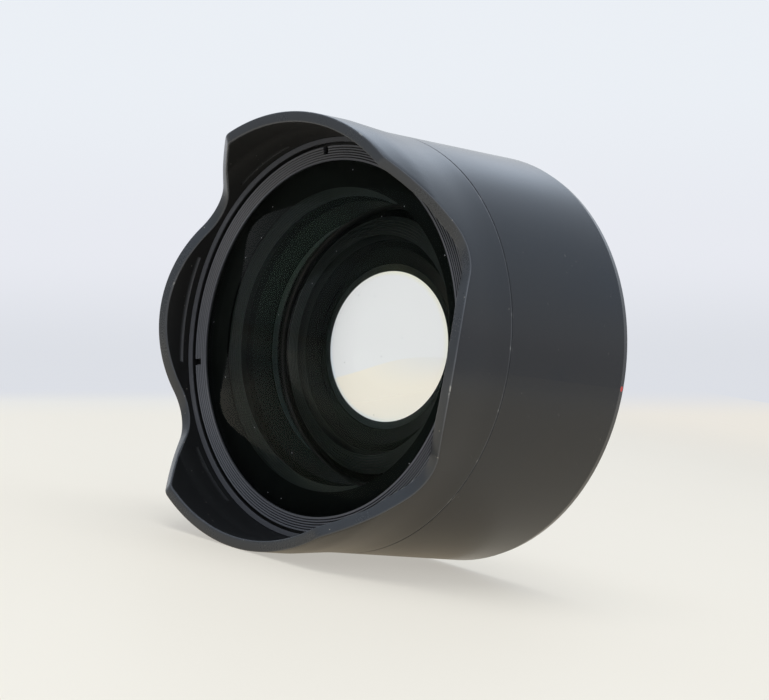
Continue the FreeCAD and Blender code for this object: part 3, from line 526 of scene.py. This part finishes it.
ringFinish = {
    "ior": 1.5,
    "black": (0.047, 0.050, 0.060, 1.0),
    # lighter grey: painted highlight on rib crests, worn metal and painted highlight on sharp
    # edges, and grain
    "crest": (0.130, 0.136, 0.157, 1.0),
    "ribCrestHighlightShare": 0.8,
    "cellGrey": (0.080, 0.084, 0.096, 1.0),
    # painted shade in rib valleys, notch floors and the ring's inner faces; also stains and the
    # black behind the cell's edge
    "gapBlack": (0.0060, 0.0062, 0.0066, 1.0),
    "ribbedRough": 0.30,
    "turnedRough": 0.36,
    "cellRough": 0.32,
    "grainScale": 2600.0,
    "grainShare": 0.3,
    "cloudScale": 60.0,
    "cloudRange": (0.3, 0.7),
    "cloudRough": 0.1,
    "linesPerMetre": 60000.0,
    "lineShare": 0.5,
    "lineHeight": 0.000004,
    "lineStrength": 0.5,
    "edgeRadius": 0.00006,
    # share of worn metal and painted highlight on the rings' sharp edges
    "edgeWearAndHighlight": 0.6,
    "greyDepth": (0.0002, 0.0004),
    "stainScale": 40.0,
    "stainShare": 0.2,
}


def makeTurnedBlack(name, colour, rough, crest, valley):
    # crest and valley are functions that give each mask as a socket; crest lays on the lighter
    # crest colour, a painted highlight on rib crests and worn metal with a painted highlight on
    # sharp edges; valley lays on the dark gap colour, painted shade in rib valleys, stains on the
    # rear ring and the black behind the cell's edge
    s = ringFinish
    metal = Finish(name, {"IOR": s["ior"]})
    grain = metal.noise(s["grainScale"], 2.0, 0.6)
    cloud = metal.noise(s["cloudScale"], 3.0, 0.6)
    body = metal.colours(grain * s["grainShare"], colour, s["crest"])
    body = metal.colours(crest(metal), body, s["crest"])
    metal.feed("Base Color", metal.colours(valley(metal), body, s["gapBlack"]))
    metal.feed("Roughness", metal.ease(cloud, *s["cloudRange"], rough, rough + s["cloudRough"]))
    lines = (axisRadius(metal) * s["linesPerMetre"]).maths("SINE")
    metal.feed("Normal", metal.height(lines * s["lineShare"] + grain, s["lineHeight"],
                                      s["lineStrength"]))
    return metal


# painted highlight on the rib crests
def ribCrestHighlight(metal):
    return metal.attribute("crestShare") * ringFinish["ribCrestHighlightShare"]


# painted shade in the rib valleys, the notch floors and the ring's inner faces
def ribValleyShade(metal):
    return metal.attribute("valleyShade")


# sharp edges get the lighter crest colour: worn metal and a painted highlight
def rubbedEdgeAndHighlight(metal):
    return sharpEdges(metal, metal.roundedEdge(ringFinish["edgeRadius"])) * ringFinish["edgeWearAndHighlight"]


def stain(metal):
    return metal.noise(ringFinish["stainScale"]) * ringFinish["stainShare"]


def behindCellEdge(metal):
    # the front cell is grey only on its front edge
    front = nodeSizes("front_cell")[0] / 1000
    start, end = ringFinish["greyDepth"]
    return metal.ease(metal.parts(metal.place)[1], front + start, front + end)


ribbedBlack = makeTurnedBlack("ribbedBlack", ringFinish["black"], ringFinish["ribbedRough"],
                              ribCrestHighlight, ribValleyShade)
give(makeTurnedBlack("turnedBlack", ringFinish["black"], ringFinish["turnedRough"],
                     rubbedEdgeAndHighlight, stain), "rear_retaining_ring")
give(makeTurnedBlack("rubbedCellEdge", ringFinish["cellGrey"], ringFinish["cellRough"],
                     rubbedEdgeAndHighlight, behindCellEdge), "front_cell")


frontRing = {
    "lipRadius": 33.15,
    "flangeRadius": 35.95,
    "threadRadius": 36.1,
    "boreRadius": 34.6,
    "flangeHeight": 1.0,
    "funnelHeight": 0.33,
    "lipHeight": 0.45,
    "ribCount": 6,
    "ribDepth": 0.2,
    "riseShare": 0.45,
    "crestShare": 0.35,
    "notchAngles": (103.8, 195.9),
    "notchWidth": 1.2,
    "notchLength": 1.3,
    "notchFloor": 0.98,
    "notchWallTurn": 0.02,      # a notch's walls stand within this angle on each side of its edge
    "lipHighlight": 0.5,
    "riseHighlight": 0.8,
    "columns": 480,
    "sharpAngle": 20.0,
}


def notchHalfAngle():
    return math.degrees(frontRing["notchWidth"] / 2 / frontRing["flangeRadius"])


def frontRingSection(angle, rimY, rearY):
    # (radius, y, crest highlight, valley shade) round the ring's section, from its lip over the
    # ribs
    s = frontRing
    landY = rimY + s["funnelHeight"] + s["lipHeight"] / 2
    lipY = landY - s["lipHeight"]
    width = (s["flangeRadius"] - s["lipRadius"]) / s["ribCount"]
    fall = (rimY - lipY) / s["ribCount"]
    # the lip, rises and crests get a painted highlight; rib feet and inner faces a painted shade
    ribs = [(s["lipRadius"], landY, 0, 1), (s["lipRadius"], lipY, s["lipHighlight"], 0)]
    for k in range(s["ribCount"]):
        rise = k + s["riseShare"]
        for share, crest in ((rise, s["riseHighlight"]), (rise + s["crestShare"], 1.0)):
            ribs.append((s["lipRadius"] + share * width, lipY + share * fall, crest, 0))
        foot = s["ribDepth"] if k < s["ribCount"] - 1 else 0.0
        ribs.append((s["lipRadius"] + (k + 1) * width, lipY + (k + 1) * fall + foot, 0,
                     1 if foot else 0))
    floorY = rimY + s["flangeHeight"]
    turned = min(abs((angle - at + 90.0) % 180.0 - 90.0) for at in s["notchAngles"])
    if turned < notchHalfAngle():
        # the notch floors get painted shade
        edge = s["flangeRadius"] - s["notchLength"]
        cutY = rimY + s["notchFloor"]
        ribs = [(r, cutY, 0, 1) if r > edge else (r, y, crest, valley)
                for r, y, crest, valley in ribs]
    return ribs + [(s["flangeRadius"], floorY, 0, 1), (s["threadRadius"], floorY, 0, 1),
                   (s["threadRadius"], rearY, 0, 1), (s["boreRadius"], rearY, 0, 1),
                   (s["boreRadius"], landY, 0, 1)]


def makeFrontRing():
    s = frontRing
    edges = [at + opposite + side * (notchHalfAngle() + slack)
             for at in s["notchAngles"] for opposite in (0.0, 180.0) for side in (-1, 1)
             for slack in (-s["notchWallTurn"], s["notchWallTurn"])]
    angles = sorted([360.0 * k / s["columns"] for k in range(s["columns"])]
                    + [edge % 360.0 for edge in edges])
    rimY, rearY = nodeSizes("front_retaining_ring")[:2]
    work = turnedShape(angles, lambda angle: frontRingSection(angle, rimY, rearY), True,
                       ("crestShare", "valleyShade"))
    piece = place("ribbedFrontRing", work, ribbedBlack, sharpAngle=s["sharpAngle"])
    standsFor(piece, "ring_black", "front_retaining_ring")


makeFrontRing()
print("rings done")


# Flat black inside the cells, the baffle and the barrel

insideFinish = {
    "grainScale": 3500.0,
    "grainRange": (0.3, 0.7),
    "rough": (0.50, 0.58),
    "grainHeight": 0.000003,
    "grainStrength": 0.6,
    "cloudScale": 90.0,
    "cloudRange": (0.5, 0.8),
    "cloudShare": 0.6,
    "flatBlack": {"ior": 1.35, "black": (0.0070, 0.0092, 0.0084, 1.0),
                  "scuffed": (0.015, 0.018, 0.017, 1.0)},
    "deepBlack": {"ior": 1.22, "black": (0.0045, 0.0056, 0.0052, 1.0),
                  "scuffed": (0.009, 0.011, 0.0105, 1.0)},
    "steppedBlack": {"ior": 1.45, "black": (0.030, 0.040, 0.037, 1.0),
                     "scuffed": (0.052, 0.062, 0.058, 1.0)},
    "lensEdgePaint": {"ior": 1.2, "black": (0.011, 0.0155, 0.0138, 1.0),
                      "scuffed": (0.018, 0.024, 0.021, 1.0)},
    "innerLensEdgePaint": {"ior": 1.2, "black": (0.0075, 0.0092, 0.0080, 1.0),
                           "scuffed": (0.012, 0.014, 0.0125, 1.0)},
}


def makeFlatBlack(name):
    s = insideFinish
    own = s[name]
    flat = Finish(name, {"IOR": own["ior"]})
    grain = flat.noise(s["grainScale"], 2.0, 0.6)
    cloud = flat.noise(s["cloudScale"], 3.0, 0.6)
    scuffs = flat.ease(cloud, *s["cloudRange"], 0.0, s["cloudShare"])
    flat.feed("Base Color", flat.colours(scuffs, own["black"], own["scuffed"]))
    flat.feed("Roughness", flat.ease(grain, *s["grainRange"], *s["rough"]))
    flat.feed("Normal", flat.height(grain, s["grainHeight"], s["grainStrength"]))
    return flat


give(makeFlatBlack("flatBlack"),
     "light_baffle", "main_barrel", "rear_cover", "cushion_ring", "front_seal")
give(makeFlatBlack("deepBlack"), "rear_cell")
give(makeFlatBlack("steppedBlack"), "doublet_retaining_ring")
lensEdge = makeFlatBlack("lensEdgePaint")
innerLensEdge = makeFlatBlack("innerLensEdgePaint")
print("inside done")


# Glass with its green coating, one finish for each refractive index

glassFinish = {
    "denseIor": 1.80,
    "lightIor": 1.62,
    "coating": (0.030, 0.060, 0.050, 1.0),
    "body": (0.999, 0.999, 0.985, 1.0),
    "bodyShade": (0.997, 0.997, 0.981, 1.0),
    "cloudScale": 40.0,
}
frontGlass = {
    "coatedShare": 0.68,
    "through": (0.90, 0.98, 0.95, 1.0),
    "thrownRange": (0.35, 0.9),
    "rearFacing": (-0.05, -0.2),
    "dust": (0.55, 0.58, 0.62, 1.0),
    "dustScale": 260.0,
    "dustSize": (0.018, 0.030),
    "dustPick": (0.88, 0.89),
    "frontFacing": (-0.7, -0.8),
}
# painted colour fringe at the rear glass rim
paintedRimFringe = {
    "warm": (1.0, 0.985, 0.72, 1.0),
    "cool": (0.72, 0.86, 1.0, 1.0),
    "radius": (0.0170, 0.0183),
    "way": (0.55, 0.0, 0.83),
    "aside": (0.004, 0.016),
}


def insideGlass(glass):
    # 1 for a ray that meets the surface from within
    return glass.node("ShaderNodeNewGeometry", {}, {}).also("Backfacing")


def paintedFringeBody(glass, body):
    # the colours that the stack splits a little at its rim are painted on the glass: yellow on one
    # side, blue on the other
    s = paintedRimFringe
    rim = glass.ease(axisRadius(glass), *s["radius"]) * insideGlass(glass)
    side = glass.dot(glass.place, glass.vector(s["way"]))
    near, far = s["aside"]
    body = glass.colours(rim * glass.ease(side, near, far), body, s["warm"])
    return glass.colours(rim * glass.ease(side, -near, -far), body, s["cool"])


def addCoating(glass, ior):
    # the coating takes most of the reflection off the big front element
    s = frontGlass
    clear = glass.node("ShaderNodeBsdfRefraction", {}, {"Color": glassFinish["body"], "IOR": ior,
                                                        "Roughness": 0.0})
    glass.cover(s["coatedShare"], clear)
    # a ray that its rear surface would throw back goes through, as through a thinner lens
    facing = glass.parts(glass.facing)[1]
    thrown = glass.ease(glass.node("ShaderNodeFresnel", {}, {"IOR": ior}), *s["thrownRange"])
    through = glass.node("ShaderNodeBsdfTransparent", {}, {"Color": s["through"]})
    glass.cover(insideGlass(glass) * thrown * glass.ease(facing, *s["rearFacing"]), through)


def addDust(glass):
    s = frontGlass
    x, y, z = glass.parts(glass.place)
    flat = glass.node("ShaderNodeCombineXYZ", {}, {0: x, 1: z})
    spots = glass.node("ShaderNodeTexVoronoi", {"voronoi_dimensions": "2D"},
                       {"Vector": flat, "Scale": s["dustScale"]})
    pick = glass.parts(spots.also("Color"))[0]
    speck = glass.ease(spots, *s["dustSize"], 1.0, 0.0) * glass.ease(pick, *s["dustPick"])
    front = glass.ease(glass.parts(glass.facing)[1], *s["frontFacing"]) * (1 - insideGlass(glass))
    grit = glass.node("ShaderNodeBsdfDiffuse", {}, {"Color": s["dust"]})
    glass.cover(speck * front, grit)


def makeGlass(name, ior, fringed=False):
    s = glassFinish
    glass = Finish(name, {"Transmission Weight": 1.0, "IOR": ior, "Roughness": 0.0,
                          "Specular Tint": s["coating"]})
    body = glass.colours(glass.noise(s["cloudScale"]), s["body"], s["bodyShade"])
    glass.feed("Base Color", paintedFringeBody(glass, body) if fringed else body)
    return glass


dense = makeGlass("denseCoatedGlass", glassFinish["denseIor"])
dusty = makeGlass("frontCoatedGlass", glassFinish["denseIor"])
addCoating(dusty, glassFinish["denseIor"])
addDust(dusty)
light = makeGlass("lightCoatedGlass", glassFinish["lightIor"])
fringed = makeGlass("rearCoatedGlass", glassFinish["lightIor"], True)


# Lens surfaces as radii in millimetres, with the widths of the painted lands round them

lenses = {
    "front_element": {"piece": "frontLens", "front": 92.0, "rear": 39.0,
                      "frontLand": 1.4, "rearLand": 7.7, "glass": dusty, "paint": lensEdge},
    "doublet_front_element": {"piece": "pairFrontLens", "front": -116.5, "rear": 92.0,
                              "frontLand": 0.9, "rearLand": 0.0, "glass": light,
                              "paint": innerLensEdge},
    "doublet_rear_element": {"piece": "pairRearLens", "front": 92.0, "rear": -120.6,
                             "frontLand": 0.0, "rearLand": 1.7, "glass": dense,
                             "paint": innerLensEdge},
    "rear_element": {"piece": "rearLens", "front": 172.0, "rear": -360.0,
                     "frontLand": 1.2, "rearLand": 1.2, "glass": fringed,
                     "paint": innerLensEdge},
}
lensMesh = {
    "rows": 32,
    "columns": 180,
    "seatGap": 0.02,    # keeps the painted lands just clear of the seats, so light reaches them
}


def sag(radius, height):
    # how far a spherical surface has curved away at a height from the axis
    return math.copysign(abs(radius) - math.sqrt(radius ** 2 - height ** 2), radius)


def makeLens(nodeName, lens):
    rows, seatGap = lensMesh["rows"], lensMesh["seatGap"]
    frontY, rearY, edge = nodeSizes(nodeName)
    frontClear, rearClear = edge - lens["frontLand"], edge - lens["rearLand"]
    frontY -= min(0.0, sag(lens["front"], frontClear))
    rearY -= max(0.0, sag(lens["rear"], rearClear))
    section = []
    for k in range(rows + 1):
        height = frontClear * math.sin(math.pi / 2 * k / rows)
        section.append((height, frontY + sag(lens["front"], height)))
    landStart = len(section) - 1
    if lens["frontLand"]:
        section.append((edge - seatGap, frontY + sag(lens["front"], frontClear) + seatGap))
    if lens["rearLand"]:
        section.append((edge - seatGap, rearY + sag(lens["rear"], rearClear) - seatGap))
    landEnd = len(section)
    for k in range(rows + 1):
        height = rearClear * math.cos(math.pi / 2 * k / rows)
        section.append((height, rearY + sag(lens["rear"], height)))
    angles = [360.0 * k / lensMesh["columns"] for k in range(lensMesh["columns"])]
    work = turnedShape(angles, lambda angle: section, False)
    row = work.verts.layers.int["row"]
    for face in work.faces:
        faceRows = [vert[row] for vert in face.verts]
        if min(faceRows) >= landStart and max(faceRows) <= landEnd:
            face.material_index = 1     # lands and edge are painted black
    standsFor(place(lens["piece"], work, lens["glass"], lens["paint"]), "coated_glass", nodeName)


for nodeName, lens in lenses.items():
    makeLens(nodeName, lens)
print("glass done")


# Plated socket, springs, screws and the index dot

metalFinish = {
    "edgeRadius": 0.00010,
    "grainScale": 1800.0,
    "grainRange": (0.3, 0.7),
    "grainRough": 0.12,
    "cloudScale": 120.0,
    "cloudRange": (0.35, 0.7),
    "lineHeight": 0.0000015,
    "lineStrength": 0.5,
    "satinPlating": {"colour": (0.66, 0.66, 0.645, 1.0), "dark": (0.56, 0.56, 0.55, 1.0),
                     "rough": 0.22, "linesPerMetre": 30000.0},
    "springSteel": {"colour": (0.46, 0.45, 0.43, 1.0), "dark": (0.30, 0.30, 0.29, 1.0),
                    "rough": 0.22, "linesPerMetre": 9000.0},
    "blackenedScrews": {"colour": (0.34, 0.34, 0.34, 1.0), "dark": (0.10, 0.10, 0.105, 1.0),
                        "rough": 0.30, "linesPerMetre": 12000.0},
    "rolledBrass": {"colour": (0.62, 0.47, 0.22, 1.0), "dark": (0.45, 0.33, 0.15, 1.0),
                    "rough": 0.30, "linesPerMetre": 5000.0},
}


def makeMetal(name):
    s = metalFinish
    own = s[name]
    metal = Finish(name, {"Metallic": 1.0})
    rounded = metal.roundedEdge(s["edgeRadius"])
    grain = metal.noise(s["grainScale"], 3.0, 0.6)
    cloud = metal.ease(metal.noise(s["cloudScale"], 3.0, 0.6), *s["cloudRange"])
    metal.feed("Base Color", metal.colours(cloud, own["colour"], own["dark"]))
    metal.feed("Roughness", metal.ease(grain, *s["grainRange"], own["rough"],
                                       own["rough"] + s["grainRough"]))
    lines = (axisRadius(metal) * own["linesPerMetre"]).maths("SINE")
    metal.feed("Normal", metal.height(lines + grain, s["lineHeight"], s["lineStrength"], rounded))
    return metal


give(makeMetal("satinPlating"), "bayonet_ring", "slider_carrier")
springSteel = makeMetal("springSteel")
give(springSteel, "bayonet_springs", "lock_pin")
give(makeMetal("blackenedScrews"),
     "hood_screws", "cell_set_screws", "cell_screws", "bayonet_screws", "slider_screw")
give(makeMetal("rolledBrass"), "shim_ring")

redEnamel = {
    "ior": 1.5,
    "red": (0.50, 0.012, 0.012, 1.0),
    "redLight": (0.62, 0.03, 0.02, 1.0),
    "cloudScale": 900.0,
    "cloudRange": (0.3, 0.7),
    "rough": (0.28, 0.42),
    "cloudHeight": 0.00001,
    "cloudStrength": 0.5,
}


def makeRedEnamel():
    s = redEnamel
    red = Finish("redEnamel", {"IOR": s["ior"]})
    cloud = red.noise(s["cloudScale"])
    red.feed("Base Color", red.colours(cloud, s["red"], s["redLight"]))
    red.feed("Roughness", red.ease(cloud, *s["cloudRange"], *s["rough"]))
    red.feed("Normal", red.height(cloud, s["cloudHeight"], s["cloudStrength"]))
    return red


give(makeRedEnamel(), "index_dot")
print("metals done")


# Lock spring: a coil that the slider presses together against the rear cell

lockCoil = {
    "wireRadius": 0.15,
    "turnCount": 3,
    "stepsPerTurn": 36,
    "wireSides": 12,
    "travel": 2.2,
}


def makeLockCoil():
    s = lockCoil
    low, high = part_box("lock_spring")
    wire = s["wireRadius"] / 1000
    steps = s["turnCount"] * s["stepsPerTurn"]
    length = high.y - low.y
    work = bmesh.new()
    bmesh.ops.create_circle(work, cap_ends=True, segments=s["wireSides"], radius=wire)
    bmesh.ops.translate(work, verts=work.verts, vec=((high.x - low.x) / 2 - wire, 0.0, 0.0))
    bmesh.ops.spin(work, geom=work.verts[:] + work.edges[:] + work.faces[:], axis=(0.0, 1.0, 0.0),
                   dvec=(0.0, (length - 2 * wire) / steps, 0.0), steps=steps,
                   angle=math.radians(360.0 * s["turnCount"]))
    start = ((low.x + high.x) / 2, low.y + wire, (low.z + high.z) / 2)
    bmesh.ops.translate(work, verts=work.verts, vec=start)
    bmesh.ops.recalc_face_normals(work, faces=work.faces)
    coil = place("lockSpringCoil", work, springSteel)
    standsFor(coil, "spring_steel", "lock_spring")
    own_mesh(coil)


makeLockCoil()
print("lock spring done")


# Pale room and floor. The wall colour depends on how high a direction from the camera points,
# and the room is dimmer elsewhere, for what the gloss and the glass reflect.

cameraView = {
    "place": (0.37904, -0.39930, 0.01968),
    "azimuth": 45.213,
    "elevation": 2.195,
    "roll": 9.84,
    "lens": 132.60,
    "sensor": 36.0,
    "clipStart": 0.02,
    "clipEnd": 10.0,
}
cameraTurn = (Matrix.Rotation(math.radians(cameraView["azimuth"]), 4, "Z")
              @ Matrix.Rotation(math.radians(90.0 - cameraView["elevation"]), 4, "X")
              @ Matrix.Rotation(math.radians(cameraView["roll"]), 4, "Z"))
cameraUp = cameraTurn @ Vector((0.0, 1.0, 0.0))
cameraAhead = cameraTurn @ Vector((0.0, 0.0, -1.0))
roomLook = {
    "wallTop": (0.830, 0.866, 0.915, 1.0),
    "wallMiddle": (0.805, 0.822, 0.878, 1.0),
    "wallLow": (0.720, 0.742, 0.792, 1.0),
    "lowHeight": (-0.004, 0.036),
    "topHeight": (0.03, 0.10),
    "ceiling": (0.760, 0.870, 1.020, 1.0),
    "ceilingHeight": (0.13, 0.6),
    "frontShare": 0.45,
    "sideShare": 0.74,
    "sideRange": (-0.12, 0.45),
    "wallWay": (-0.7093, 0.7038, 0.0383),
    "brightShare": 1.06,
    "brightRange": (0.45, 0.80),
    "panelShare": 0.62,
    "panelHeight": (0.22, 0.48),
    "panelRange": (0.70, 0.86),
}


def wallColour(look, way):
    s = roomLook
    height = look.dot(way, look.vector(cameraUp))
    low = look.colours(look.ease(height, *s["lowHeight"]), s["wallLow"], s["wallMiddle"])
    return look.colours(look.ease(height, *s["topHeight"]), low, s["wallTop"])


def makeRoom():
    s = roomLook
    world = bpy.data.worlds.new("paleRoom")
    bpy.context.scene.world = world
    world.use_nodes = True
    room = Nodes(world.node_tree)
    way = room.node("ShaderNodeTexCoord", {}, {}).also("Generated")
    x, y, z = room.parts(way)
    colour = room.colours(room.ease(z, *s["ceilingHeight"]), wallColour(room, way), s["ceiling"])
    toWall = room.dot(way, room.vector(s["wallWay"]))
    side = room.ease(y, *s["sideRange"], s["frontShare"], s["sideShare"])
    bright = room.ease(toWall, *s["brightRange"], 0.0, s["brightShare"] - s["sideShare"])
    # a lit panel above the wall
    panel = room.ease(z, *s["panelHeight"]) * room.ease(toWall, *s["panelRange"])
    share = side + bright + panel * s["panelShare"]
    seen = room.node("ShaderNodeLightPath", {}, {}).also("Is Camera Ray")
    strength = share * (1 - seen) + seen
    glow = room.node("ShaderNodeBackground", {}, {"Color": colour, "Strength": strength})
    room.node("ShaderNodeOutputWorld", {}, {"Surface": glow})


makeRoom()

floorLook = {
    "floorRadius": 1.25,
    "segments": 96,
    "gloss": 0.25,
    "rough": (0.5, 0.6),
    "cream": (0.80, 0.757, 0.655, 1.0),
    "creamShade": (0.78, 0.737, 0.635, 1.0),
    "cloudScale": 6.0,
    "cloudRange": (0.3, 0.7),
    "creamFar": (0.832, 0.800, 0.738, 1.0),
    "nearGlow": 0.55,
    "farRange": (0.45, 0.85),
    "aheadRange": (0.80, 0.92),
    "edgeHeight": (-0.0240, -0.0134),
    "edgeRange": (0.85, 1.20),
    "frontGlow": 0.40,
    "frontRange": (-0.15, 0.0),
    "leftRange": (-0.25, -0.12),
    "mirrored": (0.64, 0.55, 0.41, 1.0),
    "mirroredRange": (0.05, 0.35),
    "mirroredRight": (0.54, 0.55, 0.57, 1.0),
    "rightRange": (0.0, 0.4),
}


def makeFloor():
    s = floorLook
    work = bmesh.new()
    bmesh.ops.create_circle(work, cap_ends=True, segments=s["segments"], radius=s["floorRadius"])
    bmesh.ops.translate(work, verts=work.verts, vec=(0.0, 0.0, cadBox[0].z))
    look = Finish("paleFloor", {"Specular IOR Level": s["gloss"]})
    cloud = look.noise(s["cloudScale"], 4.0, 0.6)
    look.feed("Base Color", look.colours(cloud, s["cream"], s["creamShade"]))
    look.feed("Roughness", look.ease(cloud, *s["cloudRange"], *s["rough"]))
    toPlace = look.node("ShaderNodeVectorMath", {"operation": "SUBTRACT"},
                        {0: look.place, 1: cameraView["place"]})
    way = look.node("ShaderNodeVectorMath", {"operation": "NORMALIZE"}, {0: toPlace})
    height = look.dot(way, look.vector(cameraUp))
    x, y, z = look.parts(look.place)
    distance = (x * x + y * y) ** 0.5
    # the table ends in a level line for this camera, and in a soft round edge elsewhere
    ahead = look.ease(look.dot(way, look.vector(cameraAhead)), *s["aheadRange"])
    wall = (ahead * look.ease(height, *s["edgeHeight"])
            + (1 - ahead) * look.ease(distance, *s["edgeRange"]))
    colour = look.colours(wall, s["creamFar"], wallColour(look, way))
    # dimmer in front of the glass, for what the glass reflects
    seen = look.node("ShaderNodeLightPath", {}, {})
    dim = look.ease(y, *s["frontRange"], s["frontGlow"], 1.0).maths(
        "MAXIMUM", look.ease(x, *s["leftRange"], s["frontGlow"], 1.0)).maths("MAXIMUM", seen)
    # the gloss of the shells sees the warm shade close to the part
    mirror = seen.also("Is Reflection Ray")
    close = look.ease(distance, *s["mirroredRange"], 1.0, 0.0)
    colour = look.colours(mirror * look.ease(x, *s["rightRange"]), colour, s["mirroredRight"])
    colour = look.colours(mirror * close, colour, s["mirrored"])
    glow = look.node("ShaderNodeEmission", {}, {"Color": colour, "Strength": dim})
    far = look.ease(distance, *s["farRange"], s["nearGlow"], 1.0)
    look.cover(wall.maths("MAXIMUM", far), glow)
    place("floor", work, look)


makeFloor()

lamps = {
    "overheadLamp": {"place": (0.05, -0.1, 1.1), "size": 1.2, "power": 9.5},
    "fillLamp": {"place": (0.7, -0.6, 0.4), "size": 0.8, "power": 3.0},
}


def makeLamp(name, lamp):
    data = bpy.data.lights.new(name, "AREA")
    data.shape = "DISK"
    data.size = lamp["size"]
    data.energy = lamp["power"]
    lampObject = bpy.data.objects.new(name, data)
    lampObject.location = lamp["place"]
    lampObject.rotation_mode = "QUATERNION"
    lampObject.rotation_quaternion = (-Vector(lamp["place"])).to_track_quat("-Z", "Y")
    lampObject.visible_glossy = False
    lampObject.visible_transmission = False
    bpy.context.scene.collection.objects.link(lampObject)


for name, lamp in lamps.items():
    makeLamp(name, lamp)
print("stage and light done")


# Camera at the photograph's viewing angle

def makeCamera():
    s = cameraView
    data = bpy.data.cameras.new("photoCamera")
    data.lens = s["lens"]
    data.sensor_width = s["sensor"]
    data.sensor_fit = "HORIZONTAL"
    data.clip_start = s["clipStart"]
    data.clip_end = s["clipEnd"]
    camera = bpy.data.objects.new("photoCamera", data)
    camera.matrix_world = Matrix.Translation(s["place"]) @ cameraTurn
    bpy.context.scene.collection.objects.link(camera)
    bpy.context.scene.camera = camera


makeCamera()

scene = bpy.context.scene
scene.view_settings.view_transform = "Standard"
lightBounces = {"max_bounces": 24, "transmission_bounces": 20, "transparent_max_bounces": 16}
for name, count in lightBounces.items():
    setattr(scene.cycles, name, count)

print("scene done")
